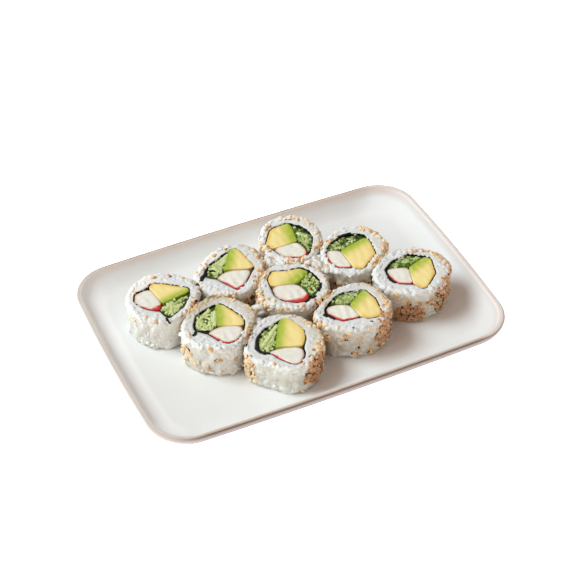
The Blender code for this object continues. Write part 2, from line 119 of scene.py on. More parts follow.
# Each piece of roll, seen from above:
#   centre   its middle on the plate
#   height   from the plate to the cut face
#   nori     corners of the seaweed line, from the centre
#   rice     reach of the rice every 45 degrees, starting at +X and turning towards +Y
#   hub      where the three fillings meet, from the centre
#   cuts     directions of the avocado-crab, avocado-cucumber and crab-cucumber lines
#   fold     direction in which the seaweed lies double
#   skin     the crab stick's red skin: directions from its middle, their spreads and thicknesses
ROLLS = {
    1: dict(
        centre=(-66.2, 20.0), height=21.0, hub=(-2.0, -3.0), cuts=(99, 8, 228), fold=255,
        skin=[(-60, 34, 3.4), (215, 50, 1.0)],
        nori=[(-16.5, 5), (-14, 10.5), (-6, 12), (-1.5, 15), (4.5, 11.5), (16, 2.5), (13.5, -4),
              (7, -11), (-4.5, -16.5), (-6, -9), (-12, -4.5), (-15.5, 1)],
        rice=(20.5, 21, 21.5, 21.5, 20.5, 18.5, 18.5, 17.5)),
    2: dict(
        centre=(-25.0, 25.5), height=21.0, hub=(-2.5, 1.5), cuts=(-20, 56, 213), fold=175,
        skin=[(-85, 34, 1.8), (205, 45, 1.3)],
        nori=[(-14.5, 2), (-13.5, 4.5), (-8.5, 9.5), (10, 17), (12.5, 12.5), (14.5, -3), (3.5, -14.5),
              (-2.5, -17), (-9, -4), (-13, -1)],
        rice=(21.5, 24, 19.5, 17, 20.5, 20, 20, 19)),
    3: dict(
        centre=(16.8, 33.9), height=21.0, hub=(3.5, -2.0), cuts=(180, 80, -79), fold=30,
        skin=[(310, 34, 1.4), (240, 40, 1.0)],
        nori=[(-15.5, 2), (-7.5, 13), (-4.5, 14.5), (5, 15), (11.5, 8.5), (13.5, 1), (13, -3),
              (7.5, -12.5), (2.5, -17), (-5.5, -17), (-9.5, -14), (-13.5, 0)],
        rice=(19, 22, 22, 18.5, 17.5, 17, 19, 17.5)),
    4: dict(
        centre=(43.4, 11.0), height=20.5, hub=(-4.0, 4.0), cuts=(-90, 12, 155), fold=95,
        skin=[(235, 70, 1.1)],
        nori=[(-17, -2.5), (-13.5, 5), (-11, 8.5), (-5.5, 12.5), (3.5, 15), (10, 13), (14, 10.5),
              (15, 3), (13, -7.5), (4, -13.5), (0.5, -17), (-5.5, -12.5), (-13.5, -9), (-15.5, -6)],
        rice=(23, 23.5, 20, 17, 17, 18, 18.5, 18.5)),
    5: dict(
        centre=(66.9, -19.2), height=21.5, hub=(0.0, 4.0), cuts=(-107, 18, 158), fold=170,
        skin=[(235, 70, 1.2)],
        nori=[(-14.5, 2.5), (-13.5, 8), (-6.5, 12.5), (4.5, 14), (13, 8), (15, 5), (11.5, -7),
              (0, -16.5), (-2, -15.5), (-4, -10.5), (-11.5, -6.5), (-14, -3)],
        rice=(22.5, 20.5, 20.5, 21, 22.5, 18.5, 18, 19.5)),
    6: dict(
        centre=(3.9, 1.6), height=21.0, hub=(1.5, -1.5), cuts=(164, 31, -80), fold=35,
        skin=[(265, 60, 1.7), (292, 40, 2.3)],
        nori=[(-15, -6), (-13, 9), (-8, 14), (-1, 11), (8.5, 9.5), (11, 6.5), (13, 1), (13.5, -4),
              (12.5, -8.5), (6.5, -14), (-1.5, -17), (-5.5, -16.5), (-12, -12)],
        rice=(18, 16.5, 17.5, 19, 23, 22.5, 21, 20)),
    7: dict(
        centre=(24.0, -30.2), height=21.5, hub=(-0.5, 2.5), cuts=(-85, 32, 158), fold=180,
        skin=[(235, 70, 1.4)],
        nori=[(-16.5, 1.5), (-14.5, 5.5), (-7, 10.5), (-1, 12.5), (12.5, 9.5), (14.5, 0), (13, -9.5),
              (11, -13), (7, -13.5), (2.5, -12), (1, -10), (-10, -8.5), (-13, -5.5)],
        rice=(20.5, 20.5, 17, 16.5, 23, 19, 17.5, 20.5)),
    8: dict(
        centre=(-46.9, -11.3), height=21.0, hub=(-1.5, -0.5), cuts=(-23, 71, 203), fold=175,
        skin=[(262, 60, 1.0), (190, 40, 1.1)],
        nori=[(-14.5, 1), (-13.5, 5), (-9.5, 11.5), (-3, 14), (5.5, 15.5), (8, 13.5), (11, 7),
              (13.5, 0.5), (13.5, -3.5), (8.5, -14), (5, -16.5), (-2, -16), (-5.5, -12.5),
              (-8.5, -5.5)],
        rice=(21.5, 21.5, 22, 20, 21.5, 19, 19, 18)),
    9: dict(
        centre=(-21.6, -36.4), height=19.0, hub=(-5.0, -2.5), cuts=(-20, 60, 194), fold=170,
        skin=[(250, 60, 1.0), (180, 40, 1.1)],
        nori=[(-15.5, 1), (-11, 9), (-4.5, 13.5), (9.5, 16.5), (12, 13.5), (15, 3.5), (13, -3),
              (9, -8.5), (7.5, -14), (2, -19.5), (-2.5, -17.5), (-7.5, -10), (-9.5, -5), (-13, -4)],
        rice=(23, 22.5, 21.5, 20, 21, 18, 22, 22)),
}

# Where pieces of roll touch: pieces nearer than this are flattened against each other, and the
# higher the sharpness, the less the flats round off.
NEIGHBOUR_DISTANCE = 50.0
WALL_SHARPNESS = 30.0
LEAST_RICE_WALL = 2.4

# Rice ring: points round it, the radii of its rounded edges, and the lumps of its wall, which start
# this far out over the cut face and turn with the way down. Any relief changes by at most so many
# radians in a millimetre of height.
COLUMNS = 144
RIM_ROUNDING = 2.1
FOOT_ROUNDING = 1.4
LUMPS = 0.34
LUMPS_START = 0.6
LUMP_TURNS = 18.0
STEEPEST_RIPPLE = 0.6
# Core of the ring: its rings of points from the foot up and in to the hole, as runs over the rice
# surface, and how deep it lies under the grains, with a ripple, less deep on the cut face.
CORE_RUNS = np.concatenate([np.linspace(4, 3, 3), np.linspace(2.9, 2.1, 9), np.linspace(2, 1, 4),
                            np.linspace(0.8, 0.0, 5)])
CORE_DEPTH = 0.12
CORE_RIPPLE = 0.1
CORE_FACE_SHARE = 0.6
# By the seaweed, grains lap over its edge in places, except near the fold, and the face falls off.
EDGE_LAP = 1.4
LAP_SWING = 0.9
LAP_SHARE = 0.3
EDGE_FALL = 0.2
EDGE_REACH = 1.8
EDGE_RISE = 0.3
FOLD_CLEAR = 30.0
# Grains: their rounded form, the rows on the cut face, the distance between rows as a share of the
# spacing, the crowding on the face and the unevenness along a row.
GRAIN_FORM = dict(rings=5, sides=8, fullness=2.6, bend=0.1)
FACE_ROWS = 3
FACE_ROW_DISTANCE = 0.75
WALL_ROW_DISTANCE = 0.72
FACE_CROWDING = 0.85
ROW_JITTER = 0.4
# Rows round the rim's arc and at the foot: run over the rice surface, unevenness of it, crowding.
RIM_ROWS = [(1.25, 0.2, 1.0), (1.75, 0.2, 1.0)]
FOOT_ROW = (3.4, 0.3, 1.0)
# Least and greatest length, width and depth of a grain, as shares of the set sizes.
GRAIN_LENGTHS = (0.8, 1.1)
GRAIN_WIDTHS = (0.85, 1.1)
GRAIN_DEPTHS = (0.7, 0.85)
# Grains belong to the cut face up to this run over the rice surface.
FACE_END = 1.2
# How far grains sink in, also at the foot, how much they lean and how far they turn on the rim, in
# radians, and the levels that they are pressed to, with the softness of each: on the cut face and
# elsewhere.
GRAIN_SINK = (0.75, 1.35)
FOOT_SINK = 0.5
FACE_LEAN = 0.45
WALL_LEAN = 0.10
RIM_SPIN = 0.6
FACE_LEVEL = (-0.03, 0.07)
WALL_LEVEL = (-0.03, 0.09)
FACE_SOFTNESS = 0.22
WALL_SOFTNESS = 0.34
# Loose rice heaped where pieces of roll meet, kept with one of them: each heap's middle, half
# sizes and number of grains. Its grains lean up to so many radians and have one tone.
HEAPS = {
    6: [((22.5, 15.5, 23.4), (5, 2.2, 2.2), 60), ((4.6, 19.4, 23), (3.8, 1.7, 2.2), 34),
        ((23.2, 10.4, 23.6), (2.2, 3.4, 2), 40), ((-1.2, 25.2, 23.2), (2.4, 3.2, 2), 34),
        ((25.4, 5.6, 22.3), (1.8, 3.4, 2.4), 30), ((-28.5, -13.5, 22.3), (1.8, 3.2, 2.2), 22),
        ((-21.2, -5.5, 22.3), (1.8, 3.2, 2.2), 20)],
}
HEAP_LEAN = 0.4
HEAP_GRAIN_DEPTH = 0.8
HEAP_TONE = 0.3

# Tones of the rice: the depths over which the moist tone and the tints of the cut face fade below
# it, the share of that depth where the fading starts, and the depths at which the golden patches
# of the wall start and are full, with their strengths by piece of roll.
MOIST_DEPTH = 1.4
TINT_DEPTH = 2.5
FADE_START = 0.2
GOLDEN_START = 1.5
GOLDEN_FULL = 4.5
GOLDEN = {3: 0.25, 4: 0.5, 5: 0.6, 6: 0.3, 7: 0.6, 8: 0.25, 9: 0.15}
# Warmer stretches of each cut face: strengths, directions and spreads. They grow outwards.
WARM_FACES = {
    1: [(0.4, -5, 75)],
    2: [(1, -5, 75), (0.6, 50, 30)],
    3: [(1.1, -5, 75)],
    4: [(1, -5, 75)],
    5: [(0.9, -5, 75)],
    6: [(0.8, -5, 75), (1.4, 135, 25)],
    7: [(1.4, -5, 75), (1.6, 135, 28)],
    8: [(1.5, -5, 75), (2.2, 108, 40)],
    9: [(1.2, -5, 75), (0.5, 50, 30)],
}
WARMTH = 0.15
WARMTH_OUTWARDS = 0.4
# Painted light on rims and walls, by piece of roll, with the sides that they look to and their spread.
PAINTED_LIGHT_RIMS = {1: 0.8, 2: 0.8, 3: 0.5, 4: 0.4}
PAINTED_LIGHT_RIM_SIDE = 120.0
PAINTED_LIGHT_WALLS = {1: 0.65, 8: 0.7, 6: 1.1, 4: 1.3}
PAINTED_LIGHT_WALL_SIDE = 255.0
PAINTED_LIGHT_SPREAD = 50.0
# Painted shade deep between touching pieces: its reach from the parting plane, the share below which
# there is none, how far under the face it starts, over how much depth it grows full, and its
# strength on the pieces where it is weaker.
PAINTED_SHADE_REACH = 5.0
PAINTED_SHADE_LEAST = 0.35
PAINTED_SHADE_START = 0.8
PAINTED_SHADE_DEPTH = 12.0
PAINTED_SHADE_SHARE = {1: 0.6, 2: 0.45, 4: 0.3, 6: 0.45, 8: 0.15}

# Sesame on each piece of roll, in patches: direction from its centre, height above the plate,
# spread in degrees, spread in height and number of seeds. A height above the cut face counts as a
# distance in from the rim.
SESAME = {
    1: [(75, 23.5, 35, 1, 5), (194, 17, 4, 1, 2), (212, 20.5, 2, 0.5, 1), (232, 20, 2, 0.5, 2),
        (252, 20.5, 2, 0.5, 1), (229, 2.3, 3, 0.5, 1), (318, 18, 20, 3, 36), (110, 12, 40, 5, 9)],
    2: [(288, 13, 16, 4, 48), (150, 21.5, 25, 1.5, 7), (95, 23.5, 20, 1, 2), (20, 22, 18, 1.5, 4),
        (245, 20, 2, 0.6, 2), (249, 16.5, 2, 0.6, 1), (330, 18, 28, 3, 48), (110, 12, 40, 5, 14)],
    3: [(185, 19, 15, 3, 26), (112, 22.5, 10, 1, 4), (55, 23, 14, 1.5, 9), (33, 22.5, 6, 1, 3),
        (230, 18, 5, 1.5, 2), (340, 20, 14, 2, 9), (303, 21, 10, 1.5, 3), (270, 21, 20, 1, 3),
        (90, 12, 40, 5, 18)],
    4: [(30, 21.5, 28, 1.2, 22), (95, 22.5, 20, 1, 4), (350, 19, 12, 3, 14), (302, 21, 14, 1, 9),
        (218, 9, 8, 2, 16), (234, 10, 5, 2, 7), (272, 11, 12, 2.5, 59), (60, 12, 40, 5, 50)],
    5: [(243, 5.8, 12, 3.5, 330), (227, 4.6, 7, 3, 120), (300, 10, 14, 5, 200), (322, 15, 10, 5, 134),
        (345, 17.5, 14, 3, 60), (20, 22.5, 20, 1.2, 22), (62, 24.5, 14, 1, 4), (212, 20, 3, 1, 3),
        (215, 17, 3, 1, 2), (60, 12, 50, 5, 101)],
    6: [(180, 19, 14, 3, 36), (203, 18, 8, 2, 7), (210, 23.5, 6, 1, 2), (246, 22, 8, 1, 2),
        (285, 17, 12, 3, 36), (281, 14, 7, 4, 118), (120, 21, 30, 1.5, 5), (30, 19, 30, 2, 9)],
    7: [(203, 13, 4, 1.5, 12), (229, 14.5, 6, 1.5, 9), (220, 20.5, 2, 0.5, 1), (239, 18.9, 2, 0.5, 1),
        (250, 3.5, 5, 2, 16), (260, 8.7, 2, 0.7, 1), (273, 20.3, 2, 0.6, 2), (273, 5.5, 2, 0.7, 1),
        (277, 1.5, 5, 1.2, 9), (284, 6.4, 2, 0.7, 2), (301, 12, 8, 5, 300), (316, 13, 11, 6, 300),
        (298, 4, 5, 2, 10), (340, 20, 14, 2.5, 36), (5, 22.5, 14, 1, 6), (190, 18, 10, 3, 9),
        (20, 12, 20, 5, 18)],
    8: [(38, 17, 12, 3, 10), (184, 22.5, 3, 0.6, 2), (192, 13, 8, 3, 18), (199, 6, 4, 1.5, 3),
        (212, 8.4, 3, 1, 2), (233, 19, 2, 1, 3), (241, 12, 4, 0.8, 7), (226, 6, 2, 0.8, 3),
        (272, 11, 4, 1, 2), (318, 21.5, 6, 1, 3), (8, 21, 12, 1, 5), (180, 6, 8, 3, 7),
        (60, 21.5, 20, 1, 4), (120, 12, 30, 5, 14)],
    9: [(186, 14, 7, 3.5, 45), (188, 6, 7, 3, 18), (178, 8, 5, 3, 9), (199, 3, 2, 0.6, 1),
        (232, 19.2, 1, 0.4, 1), (20, 20.5, 8, 1, 5), (322, 18.5, 12, 1.5, 42), (303, 12, 9, 5.5, 280),
        (288, 12, 6, 4, 120), (328, 12, 12, 5, 160), (275, 0.8, 2, 0.4, 1), (30, 12, 30, 5, 45)],
}
# Seeds squeezed into the groove between two touching pieces of roll, half on each, with their
# spread in degrees and in height and how far they lie below the face.
SEAMS = {(1, 2): 6, (1, 8): 22, (2, 3): 9, (2, 6): 26, (2, 8): 9, (3, 4): 12, (3, 6): 16, (4, 5): 14,
         (4, 6): 10, (6, 7): 20, (6, 9): 10, (8, 9): 26, (7, 9): 8}
SEAM_SPREAD = 17.0
SEAM_RISE = 0.6
SEAM_DROP = 1.1
# A height this far above the cut face is where the rim's arc starts, the face is taken as at least
# so wide, and seeds stay within these runs over the rice surface.
ARC_START = 1.0
LEAST_FACE = 0.5
SEED_RUNS = (0.1, 3.2)
# Seeds lie in a patch as in a bell of this width. A patch of so many seeds that isn't at the rim is
# toasted, a crowd is darker still as painted shade, most of all low down, and patches on the lit side are
# paler as painted light.
PATCH_WIDTH = 0.7
DENSE_PATCH = 20
RIM_PATCH = 1.5
CROWD = 115
LOW_PATCH = 9.0
HIGH_CROWD = 0.7
LIT_SIDE = 190.0
LIT_SPREAD = 25.0
LIT_SHARE = 0.5
# Share of the seeds that lie darkest, under the rest, as painted shade in the gaps, for a toasted
# patch and a crowd, with the greatest share, and what each adds to a seed's tone, along with chance.
UNDER = dict(toast=0.65, crowd=0.4, most=0.7, narrowing=0.8)
TONE = dict(toast=0.15, crowd=0.25, under=0.8, chance=0.15, lit_chance=0.4)
# Seeds: their rounded form, least and greatest size and depth as shares of the set sizes, lean in
# radians, height over the rice, and the tone from which they lie this much deeper.
SEED_FORM = dict(rings=4, sides=7, fullness=2.2, taper=0.28)
SEED_SIZES = (0.85, 1.1)
SEED_DEPTHS = (0.85, 1.15)
SEED_DEPTH = 0.55
SEED_LEAN = 0.3
SEED_LIFT = (-0.05, 0.35)
DARK_TONE = 0.75
DARK_SINK = 0.3

# Seaweed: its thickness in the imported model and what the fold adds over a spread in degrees, the
# share of both that the fillings leave free, the overlap and the smoothing of its corners in
# degrees, and its points along the winding.
NORI_THICKNESS = 0.7
NORI_FOLD_EXTRA = 0.9
NORI_FOLD_SPREAD = 22.0
NORI_ROOM = 0.8
NORI_OVERLAP = 50.0
NORI_POINTS = 190
CORNER_SMOOTHING = 4.0
CORNER_READINGS = 5
# Where the sheet overlaps itself, the inner end lies this far clear and comes out by this power of
# the share of the way.
OVERLAP_CLEAR = 0.5
OVERLAP_EASE = 0.7
# The sheet's rounded upper edge, as shares of its thickness to one side and heights over the edge,
# how far that edge lies below the cut face, its wave, and the gap at the foot.
NORI_EDGE = [(0.5, -0.9), (0.5, -0.15), (0.25, 0.0), (-0.25, 0.0), (-0.5, -0.15), (-0.5, -0.9)]
NORI_EDGE_DROP = 0.2
NORI_EDGE_WAVE = 0.35
NORI_FOOT = 0.2
# Loose ends and crumbs of seaweed on the cut face: start and end from the piece's centre with the
# height over the face, width and thickness. Each is torn into so many strips that overlap, start
# a share of a step early and lie a share of the width off the line.
NORI_SCRAPS = {
    1: [((-5.5, -15.5, 0.2), (-4, -19, -0.6), 1.5, 0.7), ((9, 14.5, 0.3), (10, 15.3, 0.3), 0.7, 0.4)],
    2: [((-12.8, 3.4, 0.25), (-15.6, 0.8, 0.3), 1.8, 0.8),
        ((-15.4, 0.8, 0.3), (-20.2, -3, -0.9), 2.2, 0.8), ((-10.2, 4.6, 0), (-7.4, 2.6, 0), 1.1, 0.5)],
    4: [((-0.5, 14.2, 0.2), (7, 13.9, 0.2), 1.8, 0.6)],
    5: [((-15.4, 1, 0.05), (-13, -4.4, 0.05), 1.6, 0.6)],
    6: [((12.5, -7.5, 0.2), (9, -12.5, 0.2), 1.7, 0.6),
        ((5.5, -15.4, 0.1), (-1.5, -17.2, 0.1), 1.3, 0.6)],
    7: [((-17, 0.6, -0.05), (-13.6, -5, 0), 2.3, 0.8), ((3, -14.8, 0.2), (4.2, -15.4, 0.2), 0.8, 0.4),
        ((-8, -15, 0.2), (-7.2, -15.4, 0.2), 0.7, 0.4)],
    8: [((-11.6, -1, 0), (-8.2, -3, 0), 1.4, 0.5), ((-14.2, -0.5, 0.2), (-16.8, -2.5, 0.1), 1.5, 0.7),
        ((10.5, -14.5, 0.2), (11.6, -15.2, 0.1), 0.8, 0.4),
        ((12.8, -12, 0.2), (13.6, -12.4, 0.1), 0.8, 0.4)],
    9: [((-14.6, -0.5, 0.2), (-11.2, 7, 0.2), 1.8, 0.7),
        ((-11.4, 6.6, 0.2), (-8, 10.4, 0.2), 1.2, 0.6),
        ((-14.7, 0.2, 0.2), (-12.6, -4.2, 0.2), 2, 0.7),
        ((-12.8, -4, 0.2), (-9.6, -5.2, 0.1), 1.3, 0.6),
        ((-19, 5.2, 0.1), (-17.2, 6.4, 0.1), 0.9, 0.5)],
}
SCRAP_PIECES = 3
SCRAP_LENGTH = 1.4
SCRAP_EARLY = 0.2
SCRAP_SCATTER = 0.1
SCRAP_WIDTHS = (0.65, 1.1)
SCRAP_BOW = 0.3

# Fillings: points round them, how far the middle of each lies from the hub to the seaweed, how sharp
# its corners are, how far it laps over its cuts, and the width of the change between an edge on a
# cut and one on the seaweed.
FILLING_SIDES = 96
MIDDLE_SHARE = 0.55
FILLING_SHARPNESS = {"avocado": 12.0, "crab": 4.2, "cucumber": 18.0}
FILLING_LAP = {"avocado": 0.25, "crab": 0.1, "cucumber": 0.0}
EDGE_BAND = 1.5
# Radius of the rounded edge, depth of the top below the cut face, rise of the dome and roughness,
# then the points over the rounded edge and the rings of the dome.
FILLING_FORMS = {"avocado": (0.5, 0.1, 0.1, 0.08), "crab": (0.8, 0.25, 0.2, 0.12)}
ARC_STEPS = 6
DOME_SHARES = (0.9, 0.8, 0.68, 0.54, 0.4, 0.26, 0.12)
# Swells of the roughness, in radians for each millimetre along X and Y, and how soon it sets in.
SWELLS = (0.45, 0.8)
ROUGH_RISE = 4.0
# Fillings that stand proud of the rice.
FILLING_LIFTS = {("avocado", 2): 0.78, ("avocado", 9): 1.0}
# Width of the avocado's green side, by piece of roll, where it isn't the usual.
GREEN_WIDTH = {1: 0.75, 2: 0.95, 3: 1.25, 6: 1.3, 8: 0.9, 9: 0.95}
# Red skin of the crab stick: the share of its depth where it ends, the least depth, and how soon
# it grows full with its depth, from where.
SKIN_END = 1.3
LEAST_SKIN = 0.02
SKIN_GAIN = 4.0
SKIN_START = 0.3
# Numbers of cucumber strips that stand and that lie, and their least and greatest widths.
USUAL_STRIPS = (44, 20, 1.2, 2.5)
CUCUMBER_STRIPS = {
    3: (26, 6, 1.7, 2.6),
    4: (20, 34, 1.1, 2.3),
    5: (20, 34, 1.1, 2.3),
    6: (27, 6, 1.7, 2.7),
    7: (24, 28, 1.2, 2.4),
}
# Least and greatest depths below the cut face of a standing strip's foot and top and of a lying
# strip's two ends, margins inside the outline, and the drift of a standing strip's top. Then the
# depths as shares of the width, the bow, and the jitter and least distance from the middle.
STANDING = dict(foot=(4, 7), top=(0.05, 0.6), margin=0.6, top_margin=0.9, drift=0.5)
LYING = dict(start=(0.8, 1.3), end=(0.7, 1.1), margin=1.0)
STRIP_DEPTHS = (0.6, 0.9)
STRIP_BOW = 0.5
STRIP_JITTER = 0.12
LEAST_REACH = 0.2
# Single strips that lie in a corner of their filling: start and end from the piece's centre, and
# width. They share a depth below the face, a thickness as a share of the width, a bow and a tone.
CORNER_STRIPS = {
    2: [((-4.6, 8.2), (5.2, 13.2), 2.3), ((-2.6, 6.2), (2.8, 10.6), 2.4)],
    8: [((-7, 9.6), (-0.4, 12.8), 2.2)],
    9: [((-3.6, 8.6), (3.4, 13.4), 2.3), ((-4, 5.6), (0.4, 9.6), 2.4)],
}
CORNER = dict(drop=0.9, depth=0.7, bow=0.3, tone=0.3)
# Leafy dark green of the cucumber, by piece of roll. Below 0 the strips are paler instead, down to
# a least tone. The core takes a share of it.
LEAFY = {1: -0.2, 2: -0.15, 8: -0.3, 9: -0.3, 3: 0.35, 4: 0.85, 5: 0.9, 6: 0.2, 7: 0.65}
CORE_LEAFY = 0.6
LEAST_TONE = 0.02
# Points along and round a strip, sides with its peel, how square its section is, and how its ends
# draw in.
STRIP_STEPS = 7
STRIP_SIDES = 8
PEEL_SIDES = 2
STRIP_SQUARENESS = 0.55
STRIP_END_SHRINK = 0.25
# The dark core under the strips, coloured as painted shade between them: its margin inside the
# outline, depth of its shoulder below the cut face, and its crown's rise and share of the reach.
CORE_MARGIN = 0.1
CORE_DROP = 1.1
CORE_CROWN = 0.3
CROWN_SHARE = 0.6

# Camera: where it stands round the plate, how steeply it looks down, its roll, how far it is in
# metres, its lens and sensor, and the point that it aims at.
CAMERA_AZIMUTH = -25.52
CAMERA_ELEVATION = 42.97
CAMERA_ROLL = 0.08
CAMERA_DISTANCE = 0.9061
CAMERA_LENS = 101.57
CAMERA_SENSOR = 36.0
AIM_HEIGHT = 0.015
AIM_LEFT = 0.0007
AIM_UP = 0.0076

# Soft square lights: direction round the plate and up, distance and size in metres, and colour.
LIGHTS = {
    "key": (146.0, 50.0, 7.2, 3.4, (0.83, 0.95, 1.0)),
    "bounce": (182.0, 25.0, 4.5, 3.3, (1.0, 1.0, 0.93)),
}
FILL_COLOUR = (1.0, 0.74, 0.6, 1.0)
# Floor: half its size, and its glow, which is weaker near the plate and grows over this stretch.
FLOOR_HALF_SIZE = 3000.0
FLOOR_GLOW = 1.6
NEAR_GLOW = 0.56
GLOW_START = 0.16
GLOW_END = 0.36


def srgb(red, green, blue):
    """A screen colour, 0 to 255, as the linear numbers that shaders take, by the usual curve."""
    shares = np.array([red, green, blue]) / 255.0
    return tuple(np.where(shares <= 0.04045, shares / 12.92, ((shares + 0.055) / 1.055) ** 2.4))


# Second colours of the finishes, each mixed into one that the user can change.
CLOUDY_GLAZE = srgb(230, 232, 232)
DARK_CLAY = srgb(196, 180, 168)
# Painted shade of the outer wall, deeper low down and lighter at the ends:
LOW_OUTSIDE_PAINTED_SHADE = srgb(150, 141, 145)
END_OUTSIDE_PAINTED_SHADE = srgb(204, 198, 196)
# Painted light for the left inner wall, then for the right end:
LIT_GLAZE = srgb(251, 252, 252)
LIT_BLUE_GLAZE = srgb(249, 253, 255)
# Painted shade that dims the right lip, which faces the light:
RIGHT_LIP_PAINTED_SHADE = srgb(228, 218, 213)
WARM_LIP = srgb(222, 202, 186)
CLAY_SPECK = srgb(190, 170, 154)
GREY_GRAIN = srgb(226, 229, 223)
WARM_RICE = srgb(196, 180, 146)
# Painted light for the rims and walls that face the light:
PAINTED_LIGHT_RICE = srgb(250, 250, 246)
MOIST_RICE = srgb(222, 223, 212)
GOLDEN_RICE = srgb(214, 184, 130)
# Near-black for the darkest seeds: partly toasted seed, partly painted shade in the gaps:
TOASTED_SEED_AND_PAINTED_SHADE = srgb(74, 46, 27)
GREEN_SEAWEED = srgb(26, 31, 20)
PALE_AVOCADO = srgb(252, 238, 178)
GOLDEN_AVOCADO = srgb(238, 190, 78)
LIME_AVOCADO = srgb(220, 214, 116)
MOTTLED_AVOCADO = srgb(212, 220, 138)
DARK_AVOCADO = srgb(112, 142, 30)
GREY_CRAB = srgb(228, 224, 211)
# The crab stick's edge: partly its own tint, partly painted shade:
CRAB_EDGE_TINT_AND_SHADE = srgb(204, 172, 150)
PINK_CRAB = srgb(238, 150, 134)
GREEN_CUCUMBER = srgb(164, 188, 80)
# Painted highlight of the wet flesh:
WET_CUCUMBER_PAINTED_HIGHLIGHT = srgb(228, 238, 170)
FLECKED_CUCUMBER = srgb(96, 140, 54)
RIND_CUCUMBER = srgb(56, 92, 34)
LEAFY_CUCUMBER = srgb(54, 108, 22)
# Painted shade of the core between the strips, and its lighter patches:
CUCUMBER_GAP_PAINTED_SHADE = srgb(16, 30, 8)
CUCUMBER_GAP_PAINTED_SHADE_LIGHTER = srgb(84, 116, 42)


def colour(name, description, shade):
    """A colour that the user can change."""
    return FloatVectorProperty(name=name, description=description, subtype="COLOR", size=3,
                               min=0, max=1, default=shade)


def length(name, description, default, least, most):
    """A length in metres that the user can change."""
    return FloatProperty(name=name, description=description, unit="LENGTH", min=least, max=most,
                         default=default)


def power(name, description, default):
    """A light's power in watts that the user can change."""
    return FloatProperty(name=name, description=description, unit="POWER", min=0, max=2000,
                         default=default)


class PlateSettings(bpy.types.PropertyGroup):
    """Colours of the plate"""

    glaze: colour("Glaze", "White glaze of the well", srgb(235, 237, 237))
    clay: colour("Lip", "Bare clay of the lip", srgb(221, 211, 203))
    # The edge line is partly where the glaze breaks and partly painted shade under the lip's rolled edge.
    edge_line: colour("Edge line", "Thin line where the glaze breaks at the lip's edge",
                      srgb(128, 108, 97))
    # The outside colour is painted shade: the outer wall's glaze darkened as if in shadow.
    outside: colour("Outside", "Glaze of the outer wall", srgb(170, 157, 152))


class RiceSettings(bpy.types.PropertyGroup):
    """Sizes and colours of the rice"""

    grain_length: length("Grain length", "Length of a cooked grain", 0.0066, 0.002, 0.01)
    grain_width: length("Grain width", "Width of a cooked grain", 0.0036, 0.001, 0.005)
    spacing: length("Spacing", "Distance between grains along a row", 0.0033, 0.001, 0.01)
    white: colour("Rice", "Colour of the grains", srgb(238, 241, 238))
    face: colour("Cut face", "Colour of the moist cut face", srgb(226, 230, 233))
    # The colour between the grains is painted shade in the pits between them.
    shade: colour("Between", "Colour between the grains", srgb(222, 224, 214))
    # The groove colour is painted shade deep between touching pieces.
    groove_shade: colour("Groove", "Colour deep between two touching pieces", srgb(112, 76, 52))


class SesameSettings(bpy.types.PropertyGroup):
    """Sizes and colours of the sesame"""

    seed_length: length("Seed length", "Length of a sesame seed", 0.0031, 0.001, 0.006)
    seed_width: length("Seed width", "Width of a sesame seed", 0.0019, 0.0005, 0.004)
    pale: colour("Pale", "Palest seeds", srgb(252, 230, 188))
    toasted: colour("Toasted", "Most toasted seeds", srgb(202, 140, 90))


class SeaweedSettings(bpy.types.PropertyGroup):
    """Thickness and colour of the seaweed"""

    thickness: length("Thickness", "Thickness of the damp sheet", 0.0004, 0.0001, 0.002)
    colour: colour("Seaweed", "Colour of the sheet", srgb(10, 12, 9))


class FillingSettings(bpy.types.PropertyGroup):
    """Colours of the fillings"""

    avocado_yellow: colour("Avocado", "Flesh away from the skin", srgb(250, 230, 156))
    avocado_green: colour("Avocado by the skin", "Flesh next to the skin", srgb(174, 195, 62))
    crab_white: colour("Crab stick", "White of the crab stick", srgb(242, 242, 233))
    crab_red: colour("Crab skin", "Red skin of the crab stick", srgb(214, 48, 50))
    cucumber_pale: colour("Cucumber", "Flesh of the cucumber strips", srgb(214, 226, 162))
    cucumber_skin: colour("Cucumber skin", "Skin of the cucumber strips", srgb(66, 108, 42))


class StageSettings(bpy.types.PropertyGroup):
    """Lights and floor"""

    key_power: power("Key power", "Power of the soft key light", 432.0)
    bounce_power: power("Bounce power", "Power of the broad light from the front left", 54.0)
    sky_strength: FloatProperty(
        name="Fill", description="Strength of the even light from all round",
        min=0, max=5, default=0.38)
    floor: colour("Floor", "Colour of the floor", (0.96, 0.96, 0.96))


class Value:
    """A shader socket on which Python's arithmetic works: each operator adds one Math node."""

    def __init__(self, finish, socket):
        self.finish = finish
        self.socket = socket

    def maths(self, operation, first, second):
        """One Math node on two numbers or values."""
        return self.finish.node("Math", {"operation": operation}, {0: first, 1: second})

    def __add__(self, other):
        return self.maths("ADD", self, other)

    def __sub__(self, other):
        return self.maths("SUBTRACT", self, other)

    def __rsub__(self, other):
        return self.maths("SUBTRACT", other, self)

    def __mul__(self, other):
        return self.maths("MULTIPLY", self, other)

    __radd__ = __add__
    __rmul__ = __mul__


